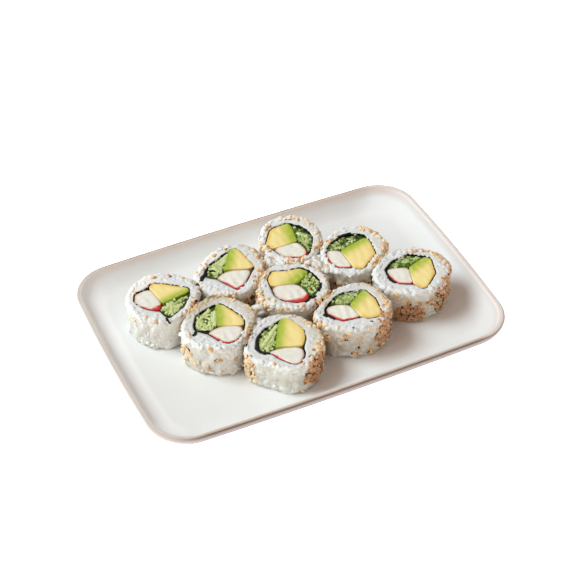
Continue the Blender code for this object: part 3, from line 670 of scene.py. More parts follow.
class Finish:
    """A material that is built from node calls and arithmetic on their values."""

    def __init__(self, name, roughness, specular=0.5):
        self.material = bpy.data.materials.new(name)
        self.material.use_nodes = True
        self.tree = self.material.node_tree
        self.shader = self.tree.nodes["Principled BSDF"]
        self.set("Roughness", roughness)
        self.set("Specular IOR Level", specular)

    def node(self, kind, settings, inputs, output=0):
        """Add a node, set it up, feed its sockets with numbers or values, and give one output."""
        made = self.tree.nodes.new(f"ShaderNode{kind}")
        for name, setting in settings.items():
            setattr(made, name, setting)
        for name, value in inputs.items():
            self.feed(made.inputs[name], value)
        return Value(self, made.outputs[output])

    def feed(self, socket, value):
        """Link a value to a socket, or set the socket's own number or colour."""
        if isinstance(value, Value):
            self.tree.links.new(value.socket, socket)
        elif socket.type == "RGBA":
            socket.default_value = (*value, 1.0)
        else:
            socket.default_value = value

    def set(self, name, value):
        """Feed one socket of the Principled shader."""
        self.feed(self.shader.inputs[name], value)

    def place(self, stretch=(1, 1, 1)):
        """Object coordinates, stretched along each axis."""
        raw = self.node("TexCoord", {}, {}, "Object")
        return self.node("Mapping", {}, {"Vector": raw, "Scale": stretch})

    def along(self, axis):
        """How far a point lies along an axis, in metres."""
        return self.node("SeparateXYZ", {}, {0: self.place()}, axis)

    def noise(self, per_metre, detail=2.0, stretch=(1, 1, 1)):
        """Smooth random values between 0 and 1, with so many swells in a metre."""
        return self.node("TexNoise", {}, {"Vector": self.place(stretch), "Scale": per_metre,
                                          "Detail": detail}, "Fac")

    def attribute(self, name):
        """A number that the mesh holds at each point."""
        return self.node("Attribute", {"attribute_name": name}, {}, "Fac")

    def step(self, value, low, high):
        """0 below low, 1 above high and a smooth climb between; low may be the larger."""
        return self.node("MapRange", {"interpolation_type": "SMOOTHSTEP"},
                         {"Value": value, "From Min": low, "From Max": high}, "Result")

    def mix(self, share, first, second):
        """The first colour turning into the second as share goes from 0 to 1."""
        return self.node("Mix", {"data_type": "RGBA"}, {0: share, 6: first, 7: second}, 2)

    def bump(self, height, distance, normal=None):
        """Press a relief of so many metres into the surface, or into one with other normals."""
        inputs = {"Height": height, "Distance": distance}
        if normal is not None:
            inputs["Normal"] = normal
        self.set("Normal", self.node("Bump", {}, inputs))

    def leaned_up(self, share):
        """The surface's normal leaned towards +Z: so much of +Z is added, and the sum made a unit."""
        normal = self.node("NewGeometry", {}, {}, "Normal")
        upwards = self.node("VectorMath", {"operation": "SCALE"}, {0: (0.0, 0.0, 1.0), "Scale": share})
        leaned = self.node("VectorMath", {"operation": "ADD"}, {0: normal, 1: upwards})
        return self.node("VectorMath", {"operation": "NORMALIZE"}, {0: leaned})

    def translucent(self, weight, reach):
        """Let light wander so far, in metres, below the surface, red the furthest."""
        self.set("Subsurface Weight", weight)
        self.set("Subsurface Radius", (1.0, 0.8, 0.6))
        self.set("Subsurface Scale", reach)


def draws(kind, number=0):
    """The random draws for one kind of thing on one piece of roll."""
    return np.random.default_rng(DRAWS[kind] + number)


def directions(count):
    """Evenly spaced angles round a full turn, in radians."""
    return np.arange(count) * (FULL_TURN / count)


def turn_between(angles, target):
    """Signed smallest turn in degrees from the target direction to each angle."""
    return (np.degrees(angles) - target + 180.0) % 360.0 - 180.0


def bell(angles, middle, spread, steepness=2):
    """1 at the middle direction, falling to nothing as the turn from it grows; both in degrees."""
    return np.exp(-(turn_between(angles, middle) / spread) ** steepness)


def heading(angles):
    """Unit vectors in the level plane for angles in radians."""
    return np.stack([np.cos(angles), np.sin(angles)], axis=-1)


def seen_from(centre, points):
    """Offset, direction and distance of each point from a centre, as seen from above."""
    offset = points[:, :2] - centre
    return offset, np.arctan2(offset[:, 1], offset[:, 0]), np.linalg.norm(offset, axis=1)


def ray_to_outline(start, angles, corners):
    """Distance from start to the first crossing of a closed outline, along each angle."""
    first = np.asarray(corners, float) - start
    edge = np.roll(first, -1, axis=0) - first
    ray = heading(angles)[:, None, :]
    turn = ray[..., 0] * edge[:, 1] - ray[..., 1] * edge[:, 0]
    turn = np.where(np.abs(turn) < 1e-9, 1e-9, turn)
    along_ray = (first[:, 0] * edge[:, 1] - first[:, 1] * edge[:, 0]) / turn
    along_edge = (first[:, 0] * ray[..., 1] - first[:, 1] * ray[..., 0]) / turn
    hit = (along_ray > 0) & (along_edge >= 0) & (along_edge <= 1)
    return np.where(hit, along_ray, np.inf).min(axis=1)


def ray_to_line(start, angles, point, normal):
    """Distance from start to a straight line, along each angle; no limit when heading away."""
    closing = heading(angles) @ normal
    room = np.dot(np.asarray(point) - start, normal)
    return np.where(closing > 1e-6, room / np.maximum(closing, 1e-6), np.inf)


def soft_least(limits, sharpness):
    """A smooth lower bound of several distances, so that lines meet in a rounded corner."""
    total = sum(np.power(limit, -sharpness) for limit in limits)
    return np.power(total, -1.0 / sharpness)


def between(before, here, after, beyond, t):
    """The rounded line (Catmull-Rom) from here to after, where t is the share of the way."""
    return 0.5 * (2 * here + (after - before) * t
                  + (2 * before - 5 * here + 4 * after - beyond) * t ** 2
                  + (3 * here - before - 3 * after + beyond) * t ** 3)


def round_curve(values, angles):
    """Smooth closed curve through evenly spaced values."""
    values = np.asarray(values, float)
    place = np.mod(angles, FULL_TURN) / FULL_TURN * len(values)
    index = np.floor(place).astype(int)
    return between(*(values[(index + k) % len(values)] for k in (-1, 0, 1, 2)), place - index)


def smooth_run(points, steps):
    """A rounded line through points, with so many steps from each to the next."""
    points = np.asarray(points, float)
    padded = np.vstack([2 * points[0] - points[1], points, 2 * points[-1] - points[-2]])
    t = (np.arange(steps) / steps)[None, :, None]
    run = between(*(padded[k:k + len(points) - 1, None, :] for k in range(4)), t)
    return np.vstack([run.reshape(-1, points.shape[1]), points[-1:]])


def polar_loop(centre, angles, radii):
    """Points of a loop round a centre, as an array of x and y."""
    return np.asarray(centre) + heading(angles) * np.reshape(radii, (-1, 1))


def offset_loop(loop, distance):
    """Move each point of a loop inwards by a distance, square to the loop."""
    along = np.roll(loop, -1, axis=0) - np.roll(loop, 1, axis=0)
    along /= np.linalg.norm(along, axis=1, keepdims=True)
    inwards = np.stack([-along[:, 1], along[:, 0]], axis=-1)
    return loop + inwards * np.reshape(distance, (-1, 1))


def at_height(loop, height):
    """A flat loop lifted to one height, or to a height for each point."""
    return np.column_stack([loop, np.broadcast_to(height, len(loop))])


def periodic(values, angles, wanted):
    """Read values known at evenly spaced angles at any other angles, straight between them."""
    return np.interp(np.mod(wanted, FULL_TURN), np.append(angles, FULL_TURN),
                     np.append(values, values[0]))


def neighbour_lines(number):
    """Lines that part a piece of roll from those next to it, each as a point and a normal.

    A line stands square to the way between two centres, and shares it as their rice reaches do.
    """
    roll = ROLLS[number]
    centre = np.array(roll["centre"])
    lines = []
    for other_number, other in ROLLS.items():
        apart = np.array(other["centre"]) - centre
        distance = np.linalg.norm(apart)
        if other_number == number or distance > NEIGHBOUR_DISTANCE:
            continue
        way = math.atan2(apart[1], apart[0])
        own = float(round_curve(roll["rice"], np.array([way]))[0])
        theirs = float(round_curve(other["rice"], np.array([way + math.pi]))[0])
        share = distance * own / (own + theirs) - GAP / 2
        lines.append((centre + apart / distance * share, apart / distance))
    return lines


def shapes_of(number):
    """The loops and heights that the parts of one piece of roll share.

    The rice reaches to its smooth outline or to a parting line, whichever is nearer, and the
    seaweed to its corners, read a few times round each direction so that they round off.
    """
    roll = ROLLS[number]
    centre = np.array(roll["centre"])
    angles = directions(COLUMNS)
    limits = [ray_to_line(centre, angles, point, normal) for point, normal in neighbour_lines(number)]
    rice = soft_least([round_curve(roll["rice"], angles), *limits], WALL_SHARPNESS)
    spread = np.radians(np.linspace(-CORNER_SMOOTHING, CORNER_SMOOTHING, CORNER_READINGS))
    corners = centre + np.array(roll["nori"], float)
    nori = np.mean([ray_to_outline(centre, angles + turn, corners) for turn in spread], axis=0)
    nori = soft_least([nori, rice - LEAST_RICE_WALL], WALL_SHARPNESS)
    thickness = NORI_THICKNESS + NORI_FOLD_EXTRA * bell(angles, roll["fold"], NORI_FOLD_SPREAD)
    base = FLOOR_HEIGHT + GAP
    top = base + roll["height"]
    return dict(number=number, centre=centre, angles=angles, rice=rice, nori=nori,
                room=offset_loop(polar_loop(centre, angles, nori), NORI_ROOM * thickness),
                base=base, top=top, wall=top - base - RIM_ROUNDING - FOOT_ROUNDING)


def ripple(angles, heights, draw, waves, finest):
    """Uneven relief between about -1 and 1: a sum of sine waves round and up the wall."""
    total = np.zeros(np.broadcast(angles, heights).shape)
    for _ in range(waves):
        around = draw.integers(2, finest)
        up = draw.uniform(-STEEPEST_RIPPLE, STEEPEST_RIPPLE)
        total = total + np.sin(around * angles + up * heights + draw.uniform(0, FULL_TURN))
    return total / math.sqrt(waves)


def write_mesh(name, vertices, faces, attributes=None, sharp_angle=None):
    """Put arrays of points in mm and of equal-sided faces into a new object's mesh."""
    mesh = bpy.data.meshes.new(name)
    corners = np.concatenate([group.ravel() for group in faces])
    sides = np.concatenate([np.full(len(group), group.shape[1]) for group in faces])
    mesh.vertices.add(len(vertices))
    mesh.vertices.foreach_set("co", (np.asarray(vertices) * MM).astype(np.float32).ravel())
    mesh.loops.add(len(corners))
    mesh.loops.foreach_set("vertex_index", corners.astype(np.int32))
    mesh.polygons.add(len(sides))
    mesh.polygons.foreach_set("loop_start", (np.cumsum(sides) - sides).astype(np.int32))
    mesh.update(calc_edges=True)
    mesh.validate()
    for key, values in (attributes or {}).items():
        layer = mesh.attributes.new(key, "FLOAT", "POINT")
        layer.data.foreach_set("value", np.asarray(values, np.float32).ravel())
    mesh.shade_smooth()
    if sharp_angle is not None:
        mesh.set_sharp_from_angle(angle=math.radians(sharp_angle))
    obj = bpy.data.objects.new(name, mesh)
    bpy.context.scene.collection.objects.link(obj)
    return obj


def dress(obj, finish, slot, *nodes):
    """Give a piece its material, let it ride on the root, and hide the imported nodes that it stands for;
    the slot is not used.
    """
    obj.data.materials.append(finish.material)
    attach(obj, "root")
    if nodes:
        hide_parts(*nodes)


def dress_rolls(name, finish, slot, make, sharp_angle=None):
    """Make one piece for each piece of roll, in place of its node that is named for the slot."""
    for number in ROLLS:
        obj = write_mesh(f"{name}_{number}", *make(number), sharp_angle=sharp_angle)
        dress(obj, finish, slot, f"roll_{number}_{slot}")


def grid_faces(rows, columns, closed=False):
    """Four-sided faces between rings of points; the rings join up, and so may the first and last."""
    row = np.arange(rows if closed else rows - 1)[:, None]
    column = np.arange(columns)[None, :]
    after = (column + 1) % columns
    above = (row + 1) % rows
    corners = np.broadcast_arrays(row * columns + column, row * columns + after,
                                  above * columns + after, above * columns + column)
    return np.stack(corners, axis=-1).reshape(-1, 4)


def skin(rings, closed=False):
    """Points and faces of the surface through rings, which run up the outside: capped or closed."""
    rings = np.asarray(rings)
    rows, columns, _ = rings.shape
    faces = [grid_faces(rows, columns, closed)]
    if not closed:
        last = np.arange(columns)[None, :] + (rows - 1) * columns
        faces += [np.arange(columns)[None, ::-1], last]
    return rings.reshape(-1, 3), faces


def join(*parts):
    """Several sets of points and faces as one."""
    vertices = np.concatenate([points for points, _ in parts])
    faces = []
    start = 0
    for points, groups in parts:
        faces += [group + start for group in groups]
        start += len(points)
    return vertices, faces


def oval(rings, sides, fullness, taper=0.0, bend=0.0):
    """Points and faces of a closed oval of half length 1.

    At x along it the radius is the root of 1 - x**fullness, less by taper times x, and the oval
    bends down by bend times x squared.
    """
    x = np.cos(np.linspace(math.pi, 0, rings + 2))[1:-1]
    radius = np.sqrt(1 - np.abs(x) ** fullness) * (1 - taper * x)
    turn = directions(sides)
    y = radius[:, None] * np.cos(turn)
    z = radius[:, None] * np.sin(turn) - bend * (x ** 2)[:, None]
    body = np.stack([np.broadcast_to(x[:, None], y.shape), y, z], axis=-1).reshape(-1, 3)
    points = np.vstack([body, [[-1, 0, -bend], [1, 0, -bend]]])
    column = np.arange(sides)
    after = (column + 1) % sides
    start = len(body)
    last = (rings - 1) * sides
    ends = np.concatenate([
        np.stack([np.full(sides, start), after, column], axis=-1),
        np.stack([np.full(sides, start + 1), last + column, last + after], axis=-1)])
    return points, [grid_faces(rings, sides), ends]


def scatter(shape, places, frames, sizes):
    """Copies of one small shape: each is scaled, turned by its frame and moved to its place."""
    points, faces = shape
    turned = np.einsum("nij,nkj->nki", frames, points[None, :, :] * sizes[:, None, :])
    vertices = (turned + places[:, None, :]).reshape(-1, 3)
    shift = (np.arange(len(places)) * len(points))[:, None, None]
    groups = [(group[None, :, :] + shift).reshape(-1, group.shape[1]) for group in faces]
    return vertices, groups


def press(vertices, places, normals, level, softness):
    """Flatten what stands above a surface: a point's height over its place becomes the soft minimum
    of that height and the level."""
    each = len(vertices) // len(places)
    normals = np.repeat(normals, each, axis=0)
    level = np.repeat(level, each)
    softness = np.repeat(softness, each)
    height = np.einsum("ij,ij->i", vertices - np.repeat(places, each, axis=0), normals)
    pressed = -softness * np.logaddexp(-height / softness, -level / softness)
    return vertices + normals * (pressed - height)[:, None]


def lay_frames(normals, tangents, spin, lean):
    """Frames that lie on a surface: long side turned by spin in it and leaned out of it by lean."""
    beside = np.cross(normals, tangents)
    long_side = tangents * np.cos(spin)[:, None] + beside * np.sin(spin)[:, None]
    tilted = long_side * np.cos(lean)[:, None] + normals * np.sin(lean)[:, None]
    upper = normals * np.cos(lean)[:, None] - long_side * np.sin(lean)[:, None]
    side = np.cross(upper, tilted)
    return np.stack([tilted, side, upper], axis=-1)


def plate_outline(inset):
    """The lip's outline moved in by a distance: round corners joined by sides that bulge out."""
    radius = LIP_CORNER_RADIUS - CORNER_TIGHTENING * inset
    half_sizes = np.array([LIP_HALF_LENGTH, LIP_HALF_WIDTH]) - inset
    corners = []
    for quarter, signs in enumerate([(1, 1), (-1, 1), (-1, -1), (1, -1)]):
        turn = (quarter + np.linspace(0, 1, CORNER_SEGMENTS + 1)) * QUARTER_TURN
        corners.append(polar_loop(np.array(signs) * (half_sizes - radius), turn,
                                  np.full(len(turn), radius)))
    runs = []
    for corner, following, segments in zip(corners, corners[1:] + corners[:1],
                                           [SIDE_SEGMENTS, END_SEGMENTS] * 2):
        share = np.arange(1, segments)[:, None] / segments
        runs += [corner, corner[-1] + (following[0] - corner[-1]) * share]
    outline = np.concatenate(runs)
    x, y = (outline / half_sizes).T
    outline[:, 0] += END_BULGE * x * (1 - y ** 2)
    outline[:, 1] += SIDE_BULGE * y * (1 - x ** 2)
    return outline


def plate_mesh():
    """Rings from the underside out, over the lip and down to the well: outline(inset) at a height.

    Each point knows how far along the section it lies from the lip's crest.
    """
    curved = smooth_run(OUTER_WALL + LIP_TOP + INNER_WALL, SECTION_STEPS)
    section = np.vstack([UNDERSIDE, curved, WELL_FLOOR])
    section[:, 1] = np.clip(section[:, 1], 0.0, LIP_TOP[0][1])
    section[:, 0] = np.maximum(section[:, 0], 0.0)
    crest = len(UNDERSIDE) + SECTION_STEPS * len(OUTER_WALL)
    steps = np.linalg.norm(np.diff(section, axis=0), axis=1)
    along = np.concatenate([[0.0], np.cumsum(steps)])
    along -= along[crest]
    rings = [at_height(plate_outline(inset), height) for inset, height in section]
    return *skin(rings), {"from_crest": np.repeat(along, len(rings[0]))}


def plate_finish(colours):
    """White glaze that thins to clay over the lip, a dark edge line that is partly glaze break and partly
    painted shade, painted shade on the outside, painted light on the left inner wall and the right end, and
    painted shade on the right lip.
    """
    finish = Finish("plate_glaze", 0.3)
    step = finish.step
    mix = finish.mix
    place = finish.attribute("from_crest") + (finish.noise(60.0, 3.0) - 0.5) * 0.7
    cloud = finish.noise(30.0, 4.0)
    along_x = finish.along("X")
    along_y = finish.along("Y")
    at_left = step(along_x, *LEFT_END)
    at_right = step(along_x, *RIGHT_END)
    at_end = step(finish.node("Math", {"operation": "ABSOLUTE"}, {0: along_x}), *RIGHT_END)
    # The outer wall takes painted shade, deepest low down and lighter at the ends.
    outside = mix(step(place, *LOW_OUTSIDE), colours.outside, LOW_OUTSIDE_PAINTED_SHADE)
    outside = mix(at_end * 0.6, outside, END_OUTSIDE_PAINTED_SHADE)
    clay = mix(step(place, *DARK_CLAY_BAND), colours.clay, DARK_CLAY)
    thin = 1.0 - 0.75 * at_right - 0.4 * at_left
    body = mix(cloud * 0.5, colours.glaze, CLOUDY_GLAZE)
    body = mix(step(place, *THIN_GLAZE) * thin, body, clay)
    # Dark edge line: partly the glaze's break, partly painted shade under the rolled edge, weaker at the
    # ends.
    body = mix(step(place, *EDGE_LINE) * (0.95 - 0.7 * at_end), body, colours.edge_line)
    body = mix(step(place, *OUTSIDE), body, outside)
    # Painted light lifts the shade on the left inner wall.
    left_wall_painted_light = step(along_x, *LEFT_WALL) * step(place, *LEFT_WALL_TOP) * step(place, *LEFT_WALL_FOOT)
    body = mix(left_wall_painted_light * 0.9, body, LIT_GLAZE)
    # Painted shade dims the right lip, which faces the light.
    right_lip_painted_shade = step(along_x, *RIGHT_LIP) * step(place, *RIGHT_LIP_INSIDE)
    right_lip_painted_shade = right_lip_painted_shade * step(place, *RIGHT_LIP_OUTSIDE)
    body = mix(right_lip_painted_shade * 0.75, body, RIGHT_LIP_PAINTED_SHADE)
    # Painted light brightens the inner wall of the right end's back half.
    lit_end = step(along_x, *LIT_END) * step(along_y, *LIT_BACK_HALF) * step(place, *LIT_WALL_TOP)
    body = mix(lit_end * (0.4 + 0.2 * step(place, *LIT_WALL_FOOT)), body, LIT_BLUE_GLAZE)
    back_lip = step(along_y, *BACK_LIP) * step(place, *BACK_LIP_INSIDE)
    back_lip = back_lip * step(place, *BACK_LIP_OUTSIDE)
    body = mix(back_lip * 0.35, body, WARM_LIP)
    specks = step(finish.noise(2600.0, 1.0), 0.74, 0.8)
    finish.set("Base Color", mix(specks * 0.12, body, CLAY_SPECK))
    on_lip = step(place, *ROUGH_INSIDE) * step(place, *ROUGH_OUTSIDE)
    finish.set("Roughness", 0.30 + 0.3 * on_lip + 0.06 * cloud)
    lean = 0.3 + 2.9 * at_left + 1.2 * at_right
    softened = finish.leaned_up(step(place, *INNER_WALL_BAND) * lean)
    finish.bump(finish.noise(420.0, 2.0), 0.00006, normal=softened)
    return finish


def rice_surface(shapes, angles, run):
    """Points, outward normals and sideways tangents on the rice ring.

    The run goes 0 to 1 over the cut face from the hole outwards, 1 to 2 round the rim's arc, 2 to 3
    down the wall and 3 to 4 round the foot's arc. On the arcs the point is the arc's middle plus
    its radius times the sine and cosine of the turn.
    """
    step = FULL_TURN / COLUMNS
    outer = periodic(shapes["rice"], shapes["angles"], angles)
    wave = ripple(angles, LUMP_TURNS * run, draws("lumps", shapes["number"]), waves=10, finest=24)
    outer = outer + LUMPS * wave * np.clip(run - LUMPS_START, 0, 1)
    slope = (periodic(shapes["rice"], shapes["angles"], angles + step)
             - periodic(shapes["rice"], shapes["angles"], angles - step)) / (2 * step)
    hole = periodic(shapes["nori"], shapes["angles"], angles) + 0.5 * GAP
    out = heading(angles)
    across = np.stack([-out[:, 1], out[:, 0]], axis=-1)
    facing = out * outer[:, None] - across * slope[:, None]
    facing /= np.linalg.norm(facing, axis=1, keepdims=True)
    on_face = np.clip(run, 0, 1)
    rim = np.clip(run - 1, 0, 1) * QUARTER_TURN
    on_wall = np.clip(run - 2, 0, 1)
    foot = np.clip(run - 3, 0, 1) * QUARTER_TURN
    shoulder = outer - RIM_ROUNDING
    radius = hole + (shoulder - hole) * on_face + RIM_ROUNDING * np.sin(rim)
    radius -= FOOT_ROUNDING * (1 - np.cos(foot))
    height = shapes["top"] - RIM_ROUNDING * (1 - np.cos(rim)) - shapes["wall"] * on_wall
    height -= FOOT_ROUNDING * np.sin(foot)
    level = np.where(run < 3, np.sin(rim), np.cos(foot))
    upright = np.where(run < 3, np.cos(rim), -np.sin(foot))
    points = np.column_stack([shapes["centre"] + out * radius[:, None], height])
    normals = np.column_stack([facing * level[:, None], upright])
    tangents = np.column_stack([-facing[:, 1], facing[:, 0], np.zeros(len(angles))])
    return points, normals, tangents


def rice_core(shapes):
    """The body under the grains: the rice surface moved in, with ripples, and closed by its hole."""
    rings = []
    for run in CORE_RUNS:
        points, normals, _ = rice_surface(shapes, shapes["angles"], np.full(COLUMNS, run))
        wave = ripple(shapes["angles"], points[:, 2], draws("core"), waves=9, finest=22)
        depth = (CORE_DEPTH + CORE_RIPPLE * wave) * min(max(run - 0.5, CORE_FACE_SHARE), 1.0)
        rings.append(points - normals * depth[:, None])
    hole = polar_loop(shapes["centre"], shapes["angles"], shapes["nori"] + 0.5 * GAP)
    rings.append(at_height(hole, shapes["base"] + GAP))
    return skin(rings, closed=True)


def face_width(shapes, angles):
    """Width of the flat cut face of the rice, from the seaweed to the rim's arc."""
    return (periodic(shapes["rice"], shapes["angles"], angles) - RIM_ROUNDING
            - periodic(shapes["nori"], shapes["angles"], angles))


def grain_rows(shapes, spacing, draw):
    """Angles and runs of the grains: evenly spaced rows, jittered, thinned where the face is narrow."""
    mean_radius = shapes["rice"].mean()
    wall_rows = int(round(shapes["wall"] / (WALL_ROW_DISTANCE * spacing)))
    face = [((k + 0.5) / FACE_ROWS, 0.5 / FACE_ROWS, FACE_CROWDING) for k in range(FACE_ROWS)]
    wall = [(2 + (k + 0.5) / wall_rows, 0.5 / wall_rows, 1.0) for k in range(wall_rows)]
    angles = []
    runs = []
    for run, jitter, crowding in face + RIM_ROWS + wall + [FOOT_ROW]:
        count = int(FULL_TURN * mean_radius * crowding / spacing)
        turn = (np.arange(count) + draw.uniform(-ROW_JITTER, ROW_JITTER, count)) * FULL_TURN / count
        angles.append(turn + draw.uniform(0, FULL_TURN))
        runs.append(run + draw.uniform(-jitter, jitter, count))
    angles = np.concatenate(angles)
    runs = np.concatenate(runs)
    room = face_width(shapes, angles) / (FACE_ROWS * FACE_ROW_DISTANCE * spacing)
    keep = (runs > 1) | (draw.random(len(runs)) < room)
    return angles[keep], runs[keep]


def clear_hole(points, shapes):
    """Push points out of the seaweed's hole and let the face fall off a little towards it.

    Away from the fold the hole's edge is moved in by a ripple, so that grains lap over it. The
    fall grows with the square of the nearness to the edge.
    """
    away, angle, distance = seen_from(shapes["centre"], points)
    draw = draws("lap", shapes["number"])
    lap = np.clip(LAP_SWING * ripple(angle, 0.0, draw, waves=9, finest=40) + LAP_SHARE, 0, 1)
    lap *= 1 - bell(angle, ROLLS[shapes["number"]]["fold"], FOLD_CLEAR)
    hole = periodic(shapes["nori"], shapes["angles"], angle) + 0.5 * GAP - EDGE_LAP * lap
    wanted = np.maximum(distance, hole)
    fall = EDGE_FALL * np.clip(1 - (wanted - hole) / EDGE_REACH, 0, 1) ** 2
    level = np.minimum(points[:, 2], shapes["top"] + EDGE_RISE) - fall
    return np.column_stack([shapes["centre"] + away * (wanted / distance)[:, None], level])


def rice_mesh(number, settings):
    """The core of one piece of roll with its grains laid all over it, half sunk and pressed flat."""
    shapes = shapes_of(number)
    draw = draws("grains", number)
    grain = oval(**GRAIN_FORM)
    long = settings.grain_length / MM
    wide = settings.grain_width / MM
    angles, runs = grain_rows(shapes, settings.spacing / MM, draw)
    points, normals, tangents = rice_surface(shapes, angles, runs)
    count = len(angles)
    on_face = runs < FACE_END
    on_rim = (runs > 1) & (runs < 2)
    lean = draw.normal(0, 1, count) * np.where(on_face, FACE_LEAN, WALL_LEAN)
    spin = np.where(on_rim, draw.normal(0, RIM_SPIN, count), draw.uniform(0, math.pi, count))
    frames = lay_frames(normals, tangents, spin, lean)
    sizes = 0.5 * np.column_stack([long * draw.uniform(*GRAIN_LENGTHS, count),
                                   wide * draw.uniform(*GRAIN_WIDTHS, count),
                                   wide * draw.uniform(*GRAIN_DEPTHS, count)])
    sink = draw.uniform(*GRAIN_SINK, count) + FOOT_SINK * (runs > 3)
    grains, grain_faces = scatter(grain, points - normals * sink[:, None], frames, sizes)
    level = np.where(on_face, draw.uniform(*FACE_LEVEL, count), draw.uniform(*WALL_LEVEL, count))
    grains = press(grains, points, normals, level, np.where(on_face, FACE_SOFTNESS, WALL_SOFTNESS))
    grains = clear_hole(grains, shapes)
    core = rice_core(shapes)
    heaps = [rice_heap(grain, long, wide, *heap) for heap in HEAPS.get(number, [])]
    vertices, faces = join(core, (grains, grain_faces), *heaps)
    tone = np.concatenate([np.full(len(core[0]), -1.0), np.repeat(draw.random(count), len(grain[0])),
                           *(np.full(len(points), HEAP_TONE) for points, _ in heaps)])
    down = (shapes["top"] - GOLDEN_START - vertices[:, 2]) / (GOLDEN_FULL - GOLDEN_START)
    golden = np.clip(down, 0, 1) * GOLDEN.get(number, 0.0)
    return vertices, faces, {"tone": tone, "cut": near_face(vertices, shapes, MOIST_DEPTH),
                             "between": shade_between(vertices, shapes), "golden": golden,
                             "warmth_and_painted_light": face_warmth_and_painted_light(vertices, shapes)}


def rice_heap(grain, long, wide, middle, half_sizes, count):
    """Loose grains that lie every way, spread as bells about the heap's middle."""
    draw = draws("heap")
    spread = np.clip(draw.normal(0, 0.5, (count, 3)), -1, 1)
    level = np.tile([0.0, 0.0, 1.0], (count, 1))
    along = np.tile([1.0, 0.0, 0.0], (count, 1))
    frames = lay_frames(level, along, draw.uniform(0, math.pi, count),
                        draw.uniform(-HEAP_LEAN, HEAP_LEAN, count))
    sizes = 0.5 * np.column_stack([long * draw.uniform(*GRAIN_LENGTHS, count), np.full(count, wide),
                                   np.full(count, HEAP_GRAIN_DEPTH * wide)])
    return scatter(grain, np.array(middle) + spread * np.array(half_sizes), frames, sizes)


def near_face(vertices, shapes, depth):
    """1 on the cut face and for a small share of the depth below it, then a fall to 0 over it."""
    return np.clip((vertices[:, 2] - shapes["top"]) / depth + 1 + FADE_START, 0, 1)


def face_warmth_and_painted_light(vertices, shapes):
    """How warm (above 0) or how lifted by painted light (below 0) the rice is: bells over the
    direction from the piece's centre, the warm ones and the rim's painted light for the face and painted
    light on one side for the wall."""
    number = shapes["number"]
    _, angle, distance = seen_from(shapes["centre"], vertices)
    hole = periodic(shapes["nori"], shapes["angles"], angle)
    reach = periodic(shapes["rice"], shapes["angles"], angle)
    outness = np.clip((distance - hole) / (reach - hole), 0, 1)
    warm = sum(strength * bell(angle, middle, spread) for strength, middle, spread in WARM_FACES[number])
    warm = (WARMTH + WARMTH_OUTWARDS * outness) * warm
    painted_light = PAINTED_LIGHT_RIMS.get(number, 0.0) * bell(angle, PAINTED_LIGHT_RIM_SIDE, PAINTED_LIGHT_SPREAD)
    painted_light_wall = PAINTED_LIGHT_WALLS.get(number, 0.0) * bell(angle, PAINTED_LIGHT_WALL_SIDE, PAINTED_LIGHT_SPREAD)
    on_face = near_face(vertices, shapes, TINT_DEPTH)
    return (warm - painted_light) * on_face - painted_light_wall * (1 - on_face)


def shade_between(vertices, shapes):
    """Share of painted shade: 1 deep in the grooves between touching pieces of roll, 0 in the open: a bell
    over the distance to the parting plane, times how far below the cut face the point lies."""
    near = np.zeros(len(vertices))
    for point, normal in neighbour_lines(shapes["number"]):
        distance = (point - vertices[:, :2]) @ normal
        near += np.exp(-(distance / PAINTED_SHADE_REACH) ** 2)
    near = np.clip((near - PAINTED_SHADE_LEAST) / (1 - PAINTED_SHADE_LEAST), 0, 1)
    near *= PAINTED_SHADE_SHARE.get(shapes["number"], 1.0)
    return near * np.clip((shapes["top"] - PAINTED_SHADE_START - vertices[:, 2]) / PAINTED_SHADE_DEPTH, 0, 1)


def rice_finish(colours):
    """Moist white grains, each a little lighter or darker, with a body between them greyed as painted
    shade, painted light on some rims and walls, and painted shade in the grooves between pieces.
    """
    finish = Finish("rice", 0.5, 0.3)
    step = finish.step
    mix = finish.mix
    tone = finish.attribute("tone")
    warmth_and_painted_light = finish.attribute("warmth_and_painted_light")
    body = mix(step(tone, 0.0, 1.0) * 0.55, colours.white, GREY_GRAIN)
    # The core between the grains takes the painted shade of the pits.
    body = mix(step(tone, -0.2, -0.8), body, colours.shade)
    body = mix(finish.attribute("cut") * 0.8, body, colours.face)
    body = mix(step(warmth_and_painted_light * (0.5 + finish.noise(300.0, 3.0)), 0.0, 1.0), body, WARM_RICE)
    # Painted light on the rims and walls that face the light.
    body = mix(step(warmth_and_painted_light, 0.0, -1.0), body, PAINTED_LIGHT_RICE)
    body = mix(step(finish.noise(260.0, 3.0), 0.35, 0.75) * 0.2, body, MOIST_RICE)
    golden = step(finish.noise(170.0, 3.0), 0.45, 0.65) * finish.attribute("golden")
    body = mix(golden, body, GOLDEN_RICE)
    # Painted shade in the grooves between touching pieces.
    finish.set("Base Color", mix(finish.attribute("between") * 0.7, body, colours.groove_shade))
    finish.bump(finish.noise(1500.0, 2.0), 0.00006)
    return finish


def seam_patches(number, height):
    """Patches of seeds on one piece of roll that look towards each of the pieces it touches."""
    centre = np.array(ROLLS[number]["centre"])
    patches = []
    for pair, count in SEAMS.items():
        if number not in pair:
            continue
        other = pair[0] if pair[1] == number else pair[1]
        apart = np.array(ROLLS[other]["centre"]) - centre
        direction = math.degrees(math.atan2(apart[1], apart[0]))
        patches.append((direction, height - SEAM_DROP, SEAM_SPREAD, SEAM_RISE, (count + 1) // 2))
    return patches


def seed_runs(shapes, angles, height, down):
    """Runs over the rice surface of points so far down from the cut face; above it, so far in."""
    on_wall = 2 + np.clip((down - RIM_ROUNDING) / shapes["wall"], 0, 1)
    on_rim = 1 + np.clip((down + ARC_START) / (RIM_ROUNDING + ARC_START), 0, 1)
    on_face = 1 + (down + ARC_START) / np.maximum(face_width(shapes, angles), LEAST_FACE)
    run = np.where(down > RIM_ROUNDING, on_wall, np.where(down > -ARC_START, on_rim, on_face))
    return np.clip(run, *SEED_RUNS)


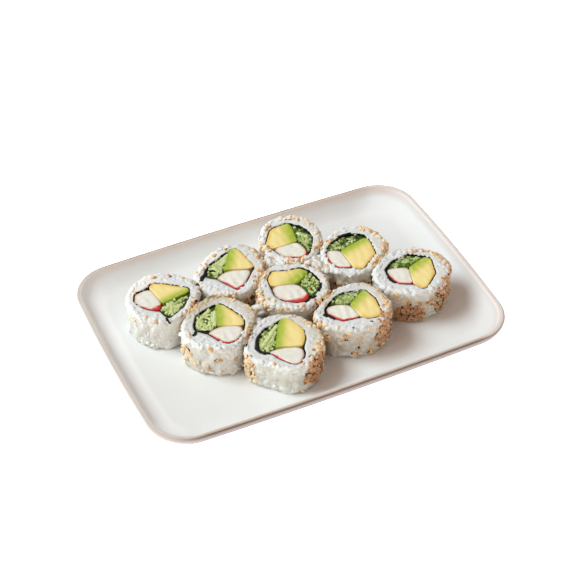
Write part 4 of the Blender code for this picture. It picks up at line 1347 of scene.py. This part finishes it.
def sesame_places(shapes, draw):
    """Angles, runs and tones of the seeds of one piece of roll, from its patches.

    A patch is a bell round its middle. The tone grows with how toasted the patch is, darker in
    crowds as painted shade and paler on the lit side as painted light, and seeds near the middle of a crowd
    are more often the darkest, as painted shade.
    """
    height = ROLLS[shapes["number"]]["height"]
    angles = []
    runs = []
    tones = []
    patches = SESAME[shapes["number"]] + seam_patches(shapes["number"], height)
    for direction, level, turn, rise, count in patches:
        sideways = draw.normal(0, PATCH_WIDTH, count)
        upwards = draw.normal(0, PATCH_WIDTH, count)
        inner = np.exp(-UNDER["narrowing"] * (sideways ** 2 + upwards ** 2))
        angle = np.radians(direction + turn * sideways)
        angles.append(angle)
        runs.append(seed_runs(shapes, angle, height, height - (level + rise * upwards)))
        # Patches on the lit side get a paler tone: painted light.
        lit = LIT_SHARE if abs(direction - LIT_SIDE) < LIT_SPREAD else 1.0
        toast = min(count / DENSE_PATCH, 1.0) * (level < height - RIM_PATCH) * lit
        # Crowds, most of all low down, get a darker tone: painted shade.
        crowd = toast * (count > CROWD) * (1.0 if level < LOW_PATCH else HIGH_CROWD)
        share = (UNDER["toast"] * toast + UNDER["crowd"] * crowd) * inner
        under = draw.random(count) < np.minimum(share, UNDER["most"])
        chance = draw.random(count) * (TONE["chance"] + TONE["lit_chance"] * lit)
        tones.append(TONE["toast"] * toast + TONE["crowd"] * crowd + chance + TONE["under"] * under)
    return np.concatenate(angles), np.concatenate(runs), np.concatenate(tones)


def sesame_mesh(settings):
    """All the seeds: flat teardrops that lie on the rice in their patches, the darkest set in."""
    draw = draws("sesame")
    long = settings.seed_length / MM
    wide = settings.seed_width / MM
    places = []
    frames = []
    tones = []
    for number in ROLLS:
        shapes = shapes_of(number)
        angles, runs, tone = sesame_places(shapes, draw)
        tones.append(tone)
        points, normals, tangents = rice_surface(shapes, angles, runs)
        count = len(angles)
        spin = draw.uniform(0, FULL_TURN, count)
        lift = draw.uniform(*SEED_LIFT, count) - DARK_SINK * (tone > DARK_TONE)
        places.append(points + normals * lift[:, None])
        frames.append(lay_frames(normals, tangents, spin, draw.normal(0, SEED_LEAN, count)))
    places = np.concatenate(places)
    count = len(places)
    sizes = 0.5 * np.column_stack([long * draw.uniform(*SEED_SIZES, count),
                                   wide * draw.uniform(*SEED_SIZES, count),
                                   SEED_DEPTH * wide * draw.uniform(*SEED_DEPTHS, count)])
    vertices, faces = scatter(oval(**SEED_FORM), places, np.concatenate(frames), sizes)
    vertices[:, 2] = np.minimum(vertices[:, 2], HIGHEST)
    return vertices, faces, {"tone": np.repeat(np.concatenate(tones), len(vertices) // count)}


def sesame_finish(colours):
    """Toasted seeds from cream to brown, the darkest near-black partly toasted seed and partly painted
    shade, with a fine grain.
    """
    finish = Finish("sesame", 0.45)
    tone = finish.attribute("tone")
    toast = finish.step(tone + (finish.noise(700.0, 2.0) - 0.5) * 0.5, 0.0, 0.8)
    seed = finish.mix(toast, colours.pale, colours.toasted)
    # The darkest tones go near-black: partly toasted seed, partly painted shade in the gaps of crowded
    # patches.
    finish.set("Base Color", finish.mix(finish.step(tone, 0.7, 1.25), seed, TOASTED_SEED_AND_PAINTED_SHADE))
    finish.bump(finish.noise(5000.0, 2.0), 0.00005)
    finish.translucent(0.1, 0.0008)
    return finish


def nori_mesh(number, settings):
    """A sheet wound once round the fillings and past its own start, as a thin wavy strip.

    Along the winding the sheet's line is the seaweed outline moved in by its overlap, and its two
    faces lie half a thickness either side of that line. The upper edge rises and falls a little.
    """
    shapes = shapes_of(number)
    draw = draws("seaweed", number)
    thickness = settings.thickness / MM
    overlap = math.radians(NORI_OVERLAP)
    wound = np.linspace(0, FULL_TURN + overlap, NORI_POINTS)
    angles = math.radians(ROLLS[number]["fold"] - 0.5 * NORI_OVERLAP) + wound
    radius = periodic(shapes["nori"], shapes["angles"], angles)
    inner = np.clip(1 - wound / overlap, 0, 1) ** OVERLAP_EASE
    inwards = thickness * 0.5 + (thickness + OVERLAP_CLEAR) * inner
    line = polar_loop(shapes["centre"], angles, radius - inwards)
    along = np.gradient(line, axis=0)
    along /= np.linalg.norm(along, axis=1, keepdims=True)
    out = np.stack([along[:, 1], -along[:, 0]], axis=-1)
    wave = ripple(angles, 0.0, draw, waves=9, finest=44)
    edge = np.minimum(shapes["top"] - NORI_EDGE_DROP + NORI_EDGE_WAVE * wave, HIGHEST)
    foot = np.full(len(line), shapes["base"] + NORI_FOOT)
    rows = [(0.5, foot), *((side, edge + drop) for side, drop in NORI_EDGE), (-0.5, foot)]
    sheet = [np.column_stack([line + out * side * thickness, height]) for side, height in rows]
    parts = [skin(np.stack(sheet, axis=1))]
    for scrap in NORI_SCRAPS.get(number, []):
        parts += nori_scrap(np.append(shapes["centre"], shapes["top"]), draw, *scrap)
    return join(*parts)


def nori_scrap(middle, draw, first, last, width, depth):
    """Strips that follow each other from first to last and overlap, each a little to one side."""
    ends = middle + np.array([first, last])
    step = (ends[1] - ends[0]) / SCRAP_PIECES
    starts = ends[0] + step * (np.arange(SCRAP_PIECES)[:, None] - SCRAP_EARLY)
    starts[:, :2] += draw.normal(0, SCRAP_SCATTER * width, (SCRAP_PIECES, 2))
    widths = width * draw.uniform(*SCRAP_WIDTHS, SCRAP_PIECES)
    rings = strip_rings(starts, starts + SCRAP_LENGTH * step, widths, np.full(SCRAP_PIECES, depth),
                        draw.uniform(-SCRAP_BOW, SCRAP_BOW, SCRAP_PIECES))
    return [skin(strip) for strip in rings]


def nori_finish(colours):
    """Damp green-black seaweed with a fine crumpled grain."""
    finish = Finish("seaweed", 0.5, 0.3)
    mottle = finish.step(finish.noise(900.0, 3.0), 0.4, 0.7)
    finish.set("Base Color", finish.mix(mottle * 0.5, colours.colour, GREEN_SEAWEED))
    finish.bump(finish.noise(1800.0, 3.0), 0.00012)
    return finish


def filling_shape(number, kind):
    """A filling's hub, middle and reach, and how much its edge belongs to the seaweed.

    Along each direction from its middle it reaches to the seaweed or to the nearer of its two
    cuts, whichever comes first, with rounded corners.
    """
    shapes = shapes_of(number)
    hub = shapes["centre"] + np.array(ROLLS[number]["hub"])
    avocado_crab, avocado_cucumber, crab_cucumber = ROLLS[number]["cuts"]
    first_cut, last_cut = dict(avocado=(avocado_crab, avocado_cucumber), crab=(avocado_crab, crab_cucumber),
                               cucumber=(avocado_cucumber, crab_cucumber))[kind]
    opening = (last_cut - first_cut) % 360
    if opening > 180:
        first_cut, opening = last_cut, 360 - opening
    bisector = math.radians(first_cut + opening / 2)
    depth = ray_to_outline(hub, np.array([bisector]), shapes["room"])[0]
    middle = hub + MIDDLE_SHARE * depth * np.array([math.cos(bisector), math.sin(bisector)])
    angles = directions(FILLING_SIDES)
    room = ray_to_outline(middle, angles, shapes["room"])
    limits = [room]
    for cut, side in ((first_cut, -1), (first_cut + opening, 1)):
        turn = math.radians(cut)
        normal = side * np.array([-math.sin(turn), math.cos(turn)])
        limits.append(ray_to_line(middle, angles, hub + normal * FILLING_LAP[kind], normal))
    by_nori = np.clip((np.minimum(limits[1], limits[2]) - room) / EDGE_BAND + 0.5, 0, 1)
    return dict(shapes, hub=hub, middle=middle, angles=angles, by_nori=by_nori,
                reach=soft_least(limits, FILLING_SHARPNESS[kind]))


def filling_mesh(shape, kind):
    """A filling from the plate to the cut face, and each point's distance in from its edge.

    It has straight sides, a rounded edge and a domed top. Going in from the edge, the rings follow
    an arc of the rounding's radius, then a dome that falls with the square of the share of the way
    out from the middle, with a little roughness.
    """
    rounding, sunk, dome, roughness = FILLING_FORMS[kind]
    top = shape["top"] - (sunk - FILLING_LIFTS.get((kind, shape["number"]), 0.0))
    middle = shape["middle"]
    reach = shape["reach"]
    turns = np.linspace(0, QUARTER_TURN, ARC_STEPS)
    levels = [(reach, shape["base"]), (reach, top - 3 * rounding)]
    levels += [(reach - rounding * (1 - math.cos(turn)), top - rounding * (1 - math.sin(turn)))
               for turn in turns]
    levels += [((reach - rounding) * share, top) for share in DOME_SHARES]
    rings = np.array([at_height(polar_loop(middle, shape["angles"], radii), height)
                      for radii, height in levels])
    radii = np.linalg.norm(rings[..., :2] - middle, axis=-1)
    share = radii / reach
    swell = ripple(rings[..., 0] * SWELLS[0], rings[..., 1] * SWELLS[1], draws(kind, shape["number"]),
                   waves=5, finest=4)
    on_top = (np.arange(len(rings)) > ARC_STEPS)[:, None]
    rise = dome * (1 - share ** 2) + roughness * swell * np.clip((1 - share) * ROUGH_RISE, 0, 1)
    rings[..., 2] += on_top * rise
    return *skin(rings), (reach - radii).ravel()


def avocado_mesh(number):
    """A wedge that knows its distance from the cut by the cucumber, where its skin was."""
    shape = filling_shape(number, "avocado")
    vertices, faces, edge = filling_mesh(shape, "avocado")
    turn = math.radians(ROLLS[number]["cuts"][1])
    away = vertices[:, :2] - shape["hub"]
    skin_way = np.abs(away @ np.array([-math.sin(turn), math.cos(turn)]))
    return vertices, faces, {"from_skin": skin_way / GREEN_WIDTH.get(number, 1.0), "from_edge": edge,
                             "by_nori": np.tile(shape["by_nori"], len(vertices) // FILLING_SIDES)}


def avocado_finish(colours):
    """Yellow flesh that turns green within a few millimetres of the skin side."""
    finish = Finish("avocado", 0.36, 0.45)
    step = finish.step
    mix = finish.mix
    skin_way = finish.attribute("from_skin") + (finish.noise(160.0, 3.0) - 0.5) * 2.2
    golden = step(finish.attribute("from_edge"), 3.0, 0.2) * finish.attribute("by_nori")
    body = mix(step(finish.noise(220.0, 3.0), 0.3, 0.8) * 0.5, colours.avocado_yellow, PALE_AVOCADO)
    body = mix(golden * 0.7, body, GOLDEN_AVOCADO)
    body = mix(step(skin_way, 8.5, 3.6), body, LIME_AVOCADO)
    body = mix(step(skin_way, 5.2, 1.6), body, colours.avocado_green)
    mottled = step(finish.noise(480.0, 3.0), 0.48, 0.7) * step(skin_way, 7.0, 3.0)
    body = mix(mottled * 0.5, body, MOTTLED_AVOCADO)
    finish.set("Base Color", mix(step(skin_way, 1.4, 0.2) * 0.5, body, DARK_AVOCADO))
    finish.bump(finish.noise(420.0, 3.0, (1.0, 0.55, 1.0)), 0.00025)
    finish.translucent(0.25, 0.0015)
    return finish


def crab_mesh(number):
    """A stick whose red skin is as deep, along each direction from its middle, as bells make it."""
    shape = filling_shape(number, "crab")
    vertices, faces, edge = filling_mesh(shape, "crab")
    _, around, _ = seen_from(shape["middle"], vertices)
    depth = sum(thick * bell(around, direction, spread, steepness=4)
                for direction, spread, thick in ROLLS[number]["skin"])
    full = np.clip(depth * SKIN_GAIN - SKIN_START, 0, 1)
    red = np.clip(SKIN_END - edge / (depth + LEAST_SKIN), 0, 1) * full
    return vertices, faces, {"red": red, "from_edge": edge}


def crab_finish(colours):
    """White fibrous stick, browner at its edge, partly its own tint and partly painted shade, with a red
    skin where its skin attribute says.
    """
    finish = Finish("crab_stick", 0.4, 0.45)
    step = finish.step
    mix = finish.mix
    red = finish.attribute("red") + (finish.noise(500.0, 3.0) - 0.5) * 0.5
    fibres = finish.noise(700.0, 2.0, (0.35, 1.6, 1.0))
    body = mix(step(fibres, 0.35, 0.7) * 0.5, colours.crab_white, GREY_CRAB)
    # Browner edge: partly the stick's own tint, partly painted shade at its rounded edge.
    body = mix(step(finish.attribute("from_edge"), 2.0, 0.2) * 0.9, body, CRAB_EDGE_TINT_AND_SHADE)
    body = mix(step(red, 0.15, 0.6) * 0.8, body, PINK_CRAB)
    finish.set("Base Color", mix(step(red, 0.45, 0.85), body, colours.crab_red))
    finish.bump(fibres, 0.0003)
    finish.translucent(0.25, 0.0015)
    return finish


def strip_rings(starts, ends, width, depth, bend):
    """Rings of many strips: a rounded oblong section carried from each start to its end.

    A point on a strip is its start plus the share of the way to its end, bowed sideways by bend
    times the sine of half a turn, plus the section's width and depth along two level sides.
    """
    share = np.linspace(0, 1, STRIP_STEPS)[None, :, None, None]
    axis = ends - starts
    axis = axis / np.linalg.norm(axis, axis=1, keepdims=True)
    helper = np.where(np.abs(axis[:, 2:]) > 0.8, [[1.0, 0.0, 0.0]], [[0.0, 0.0, 1.0]])
    side = np.cross(axis, helper)
    side /= np.linalg.norm(side, axis=1, keepdims=True)
    other = np.cross(axis, side)
    turn = directions(STRIP_SIDES) + math.pi / STRIP_SIDES
    wide, deep = (np.sign(way) * np.abs(way) ** STRIP_SQUARENESS for way in (np.cos(turn), np.sin(turn)))
    shrink = 1 - STRIP_END_SHRINK * np.abs(2 * share - 1) ** 8
    side = side[:, None, None, :]
    bow = bend[:, None, None, None] * np.sin(share * math.pi) * side
    centre = starts[:, None, None, :] + share * (ends - starts)[:, None, None, :] + bow
    section = (0.5 * width[:, None, None, None] * wide[None, None, :, None] * side
               + 0.5 * depth[:, None, None, None] * deep[None, None, :, None] * other[:, None, None, :])
    return centre + section * shrink


def points_inside(shape, count, margin, draw):
    """Places spread evenly inside a filling's outline by the golden angle, a margin off its edge."""
    order = np.arange(count) + 0.5
    angle = order * GOLDEN_ANGLE + draw.uniform(0, FULL_TURN) + draw.normal(0, STRIP_JITTER, count)
    limit = periodic(shape["reach"], shape["angles"], angle) - margin
    radius = np.maximum(limit, LEAST_REACH) * np.sqrt(order / count)
    return polar_loop(shape["middle"], angle, radius)


def cucumber_strips(shape, number, draw):
    """Starts, ends, widths, depths, bows and tones of the strips of one bundle.

    Standing strips come up to the cut face and stay inside the outline, lying ones cross just
    below it, and single ones lie in the corners that are listed.
    """
    top = shape["top"]
    standing, lying, least, most = CUCUMBER_STRIPS.get(number, USUAL_STRIPS)
    low = np.column_stack([points_inside(shape, standing, STANDING["margin"], draw),
                           top - draw.uniform(*STANDING["foot"], standing)])
    high = np.column_stack([low[:, :2] + draw.normal(0, STANDING["drift"], (standing, 2)),
                            top - draw.uniform(*STANDING["top"], standing)])
    offset, angle, distance = seen_from(shape["middle"], high)
    limit = periodic(shape["reach"], shape["angles"], angle) - STANDING["top_margin"]
    high[:, :2] = shape["middle"] + offset * np.minimum(1.0, limit / np.maximum(distance, 1e-6))[:, None]
    across = [np.column_stack([points_inside(shape, lying, LYING["margin"], draw),
                               top - draw.uniform(*LYING[end], lying)]) for end in ("start", "end")]
    picked = CORNER_STRIPS.get(number, [])
    chosen = np.array([(*first, *last, wide) for first, last, wide in picked]).reshape(-1, 5)
    corners = len(chosen)
    level = np.full((corners, 1), top - CORNER["drop"])
    starts = np.vstack([low, across[0], np.hstack([chosen[:, 0:2] + shape["centre"], level])])
    ends = np.vstack([high, across[1], np.hstack([chosen[:, 2:4] + shape["centre"], level])])
    count = standing + lying
    width = np.append(draw.uniform(least, most, count), chosen[:, 4])
    depth = width * np.append(draw.uniform(*STRIP_DEPTHS, count), np.full(corners, CORNER["depth"]))
    bend = np.append(draw.uniform(-STRIP_BOW, STRIP_BOW, count), np.full(corners, CORNER["bow"]))
    tone = np.append(draw.random(count), np.full(corners, CORNER["tone"]))
    return starts, ends, width, depth, bend, tone


def cucumber_mesh(number):
    """A bundle of strips over a dark core.

    Each point knows its strip's tone, or -1 on the core, whether it is on the strip's skin side,
    how near its strip lies to the seaweed, and how leafy its bundle is.
    """
    shape = filling_shape(number, "cucumber")
    core_top = shape["top"] - CORE_DROP
    loop = polar_loop(shape["middle"], shape["angles"], shape["reach"] - CORE_MARGIN)
    small = polar_loop(shape["middle"], shape["angles"], shape["reach"] * CROWN_SHARE)
    core = skin([at_height(loop, shape["base"]), at_height(loop, core_top),
                 at_height(small, core_top + CORE_CROWN)])
    *strips, tone = cucumber_strips(shape, number, draws("cucumber", number))
    rings = strip_rings(*strips)
    vertices, faces = join(core, *(skin(strip) for strip in rings))
    leafy = LEAFY.get(number, 0.0)
    tone = np.maximum(tone + min(leafy, 0.0), LEAST_TONE)
    _, angle, distance = seen_from(shape["middle"], strips[1])
    outness = distance / periodic(shape["reach"], shape["angles"], angle)
    outness *= periodic(shape["by_nori"], shape["angles"], angle)
    each = STRIP_STEPS * STRIP_SIDES
    on_core = np.ones(len(core[0]))
    peel = np.tile(np.arange(STRIP_SIDES) < PEEL_SIDES, STRIP_STEPS * len(rings))
    tone = np.append(-on_core, np.repeat(tone, each))
    return vertices, faces, {"tone": tone, "peel": np.append(0 * on_core, peel),
                             "outness": np.append(0 * on_core, np.repeat(outness, each)),
                             "leafy": np.where(tone < 0, CORE_LEAFY, 1.0) * leafy}


def cucumber_finish(colours):
    """Pale green flesh with painted highlights of wet patches, dark skin along one side of some strips, and
    near-black painted shade between them.
    """
    finish = Finish("cucumber", 0.25, 0.5)
    step = finish.step
    mix = finish.mix
    tone = finish.attribute("tone")
    body = mix(step(tone, 0.2, 0.9) * 0.8, colours.cucumber_pale, GREEN_CUCUMBER)
    # Lighter wet patches are painted highlights.
    body = mix(step(finish.noise(1100.0, 3.0), 0.45, 0.7) * 0.55, body, WET_CUCUMBER_PAINTED_HIGHLIGHT)
    body = mix(step(finish.noise(700.0, 3.0), 0.56, 0.7) * 0.55, body, FLECKED_CUCUMBER)
    peel = step(finish.attribute("peel"), 0.3, 0.7) * step(tone, 0.7, 0.8)
    body = mix(peel, body, colours.cucumber_skin)
    by_skin = step(finish.attribute("outness") + (tone - 0.5) * 0.5, 0.7, 1.0)
    body = mix(by_skin * 0.8, body, RIND_CUCUMBER)
    leaf = step(finish.noise(380.0, 3.0), 0.42, 0.58) * finish.attribute("leafy")
    body = mix(leaf, body, LEAFY_CUCUMBER)
    # Between the strips, the core is near-black painted shade with lighter patches.
    deep = mix(step(finish.noise(800.0, 3.0), 0.35, 0.6), CUCUMBER_GAP_PAINTED_SHADE, CUCUMBER_GAP_PAINTED_SHADE_LIGHTER)
    finish.set("Base Color", mix(step(tone, -0.2, -0.6), body, deep))
    finish.bump(finish.noise(1500.0, 2.0), 0.0001)
    finish.translucent(0.2, 0.001)
    return finish


class SUSHI_OT_plate(bpy.types.Operator):
    """Make the shallow rectangular plate with its glaze"""

    bl_idname = "sushi.plate"
    bl_label = "Plate"

    def execute(self, context):
        obj = write_mesh("plate_glazed", *plate_mesh())
        dress(obj, plate_finish(context.scene.sushi_plate), "plate", "plate")
        return {"FINISHED"}


class SUSHI_OT_rice(bpy.types.Operator):
    """Lay the rice grains round every piece of roll"""

    bl_idname = "sushi.rice"
    bl_label = "Rice"

    def execute(self, context):
        settings = context.scene.sushi_rice
        dress_rolls("rice", rice_finish(settings), "rice", lambda number: rice_mesh(number, settings))
        return {"FINISHED"}


class SUSHI_OT_sesame(bpy.types.Operator):
    """Strew the sesame seeds over the rice"""

    bl_idname = "sushi.sesame"
    bl_label = "Sesame"

    def execute(self, context):
        settings = context.scene.sushi_sesame
        obj = write_mesh("sesame_seeds", *sesame_mesh(settings))
        dress(obj, sesame_finish(settings), "sesame")
        return {"FINISHED"}


class SUSHI_OT_seaweed(bpy.types.Operator):
    """Wind the seaweed round the fillings"""

    bl_idname = "sushi.seaweed"
    bl_label = "Seaweed"

    def execute(self, context):
        settings = context.scene.sushi_seaweed
        dress_rolls("seaweed", nori_finish(settings), "nori", lambda number: nori_mesh(number, settings))
        return {"FINISHED"}


class SUSHI_OT_avocado(bpy.types.Operator):
    """Cut the avocado wedges"""

    bl_idname = "sushi.avocado"
    bl_label = "Avocado"

    def execute(self, context):
        finish = avocado_finish(context.scene.sushi_filling)
        dress_rolls("avocado", finish, "avocado", avocado_mesh)
        return {"FINISHED"}


class SUSHI_OT_crab(bpy.types.Operator):
    """Lay the crab sticks with their red skin"""

    bl_idname = "sushi.crab"
    bl_label = "Crab stick"

    def execute(self, context):
        finish = crab_finish(context.scene.sushi_filling)
        dress_rolls("crab_stick", finish, "crab", crab_mesh)
        return {"FINISHED"}


class SUSHI_OT_cucumber(bpy.types.Operator):
    """Bundle the cucumber strips"""

    bl_idname = "sushi.cucumber"
    bl_label = "Cucumber"

    def execute(self, context):
        finish = cucumber_finish(context.scene.sushi_filling)
        dress_rolls("cucumber", finish, "cucumber", cucumber_mesh, sharp_angle=50)
        return {"FINISHED"}


class SUSHI_OT_stage(bpy.types.Operator):
    """Set the floor, the soft lights and the camera"""

    bl_idname = "sushi.stage"
    bl_label = "Stage"

    def execute(self, context):
        settings = context.scene.sushi_stage
        corners = FLOOR_HALF_SIZE * np.array([[-1, -1, 0], [1, -1, 0], [1, 1, 0], [-1, 1, 0]])
        floor = write_mesh("floor", corners, [np.array([[0, 1, 2, 3]])])
        finish = Finish("floor", 0.9, 0.1)
        finish.set("Base Color", settings.floor)
        away = finish.node("VectorMath", {"operation": "LENGTH"}, {0: finish.place()}, "Value")
        near = tuple(NEAR_GLOW * channel for channel in settings.floor)
        glow = finish.mix(finish.step(away, GLOW_START, GLOW_END), near, settings.floor)
        finish.set("Emission Color", glow)
        finish.set("Emission Strength", FLOOR_GLOW)
        floor.data.materials.append(finish.material)
        add_light("key", settings.key_power)
        add_light("bounce", settings.bounce_power)
        world = bpy.data.worlds.new("studio")
        world.use_nodes = True
        background = world.node_tree.nodes["Background"]
        background.inputs["Color"].default_value = FILL_COLOUR
        background.inputs["Strength"].default_value = settings.sky_strength
        context.scene.world = world
        add_camera(context.scene)
        context.scene.view_settings.view_transform = "Standard"
        return {"FINISHED"}


def towards(azimuth, elevation):
    """The unit vector at an angle from +X round the plate and an angle above it, in degrees."""
    turn = math.radians(azimuth)
    rise = math.radians(elevation)
    return Vector((math.cos(turn) * math.cos(rise), math.sin(turn) * math.cos(rise), math.sin(rise)))


def add_light(name, watts):
    """A square soft light that faces the plate."""
    azimuth, elevation, distance, side, shade = LIGHTS[name]
    light = bpy.data.lights.new(name, "AREA")
    light.size = side
    light.energy = watts
    light.color = shade
    place = distance * towards(azimuth, elevation)
    obj = bpy.data.objects.new(name, light)
    obj.location = place
    obj.rotation_euler = (-place).to_track_quat("-Z", "Y").to_euler()
    bpy.context.scene.collection.objects.link(obj)


def add_camera(scene):
    """The camera, turned round the plate and tilted down as in the photograph."""
    roll = math.radians(CAMERA_ROLL)
    back = towards(CAMERA_AZIMUTH - 90, CAMERA_ELEVATION)
    level = towards(CAMERA_AZIMUTH, 0)
    above = back.cross(level)
    right = level * math.cos(roll) + above * math.sin(roll)
    up = above * math.cos(roll) - level * math.sin(roll)
    place = Vector((0, 0, AIM_HEIGHT)) + back * CAMERA_DISTANCE - right * AIM_LEFT + up * AIM_UP
    data = bpy.data.cameras.new("camera")
    data.lens = CAMERA_LENS
    data.sensor_width = CAMERA_SENSOR
    camera = bpy.data.objects.new("camera", data)
    camera.matrix_world = Matrix.Translation(place) @ Matrix((right, up, back)).transposed().to_4x4()
    scene.collection.objects.link(camera)
    scene.camera = camera


class SUSHI_PT_panel(bpy.types.Panel):
    """Buttons for every piece, in the order of making"""

    bl_label = "California Roll"
    bl_idname = "SUSHI_PT_panel"
    bl_space_type = "VIEW_3D"
    bl_region_type = "UI"
    bl_category = "Sushi"

    def draw(self, context):
        for operator in OPERATORS:
            self.layout.operator(operator.bl_idname)
        for name in SETTINGS:
            group = getattr(context.scene, name)
            box = self.layout.box()
            for key in group.__annotations__:
                box.prop(group, key)


SETTINGS = {
    "sushi_plate": PlateSettings,
    "sushi_rice": RiceSettings,
    "sushi_sesame": SesameSettings,
    "sushi_seaweed": SeaweedSettings,
    "sushi_filling": FillingSettings,
    "sushi_stage": StageSettings,
}
OPERATORS = (SUSHI_OT_plate, SUSHI_OT_rice, SUSHI_OT_sesame, SUSHI_OT_seaweed, SUSHI_OT_avocado,
             SUSHI_OT_crab, SUSHI_OT_cucumber, SUSHI_OT_stage)
CLASSES = (*SETTINGS.values(), *OPERATORS, SUSHI_PT_panel)


def register():
    """Tell Blender of the classes and give the scene its settings."""
    for made in CLASSES:
        bpy.utils.register_class(made)
    for name, group in SETTINGS.items():
        setattr(bpy.types.Scene, name, PointerProperty(type=group))


def unregister():
    """Take back what register did, in the opposite order."""
    for name in SETTINGS:
        delattr(bpy.types.Scene, name)
    for made in reversed(CLASSES):
        bpy.utils.unregister_class(made)


def main():
    """Make every piece in order."""
    register()
    bpy.ops.sushi.plate()
    bpy.ops.sushi.rice()
    bpy.ops.sushi.sesame()
    bpy.ops.sushi.seaweed()
    bpy.ops.sushi.avocado()
    bpy.ops.sushi.crab()
    bpy.ops.sushi.cucumber()
    bpy.ops.sushi.stage()


if __name__ == "__main__":
    main()
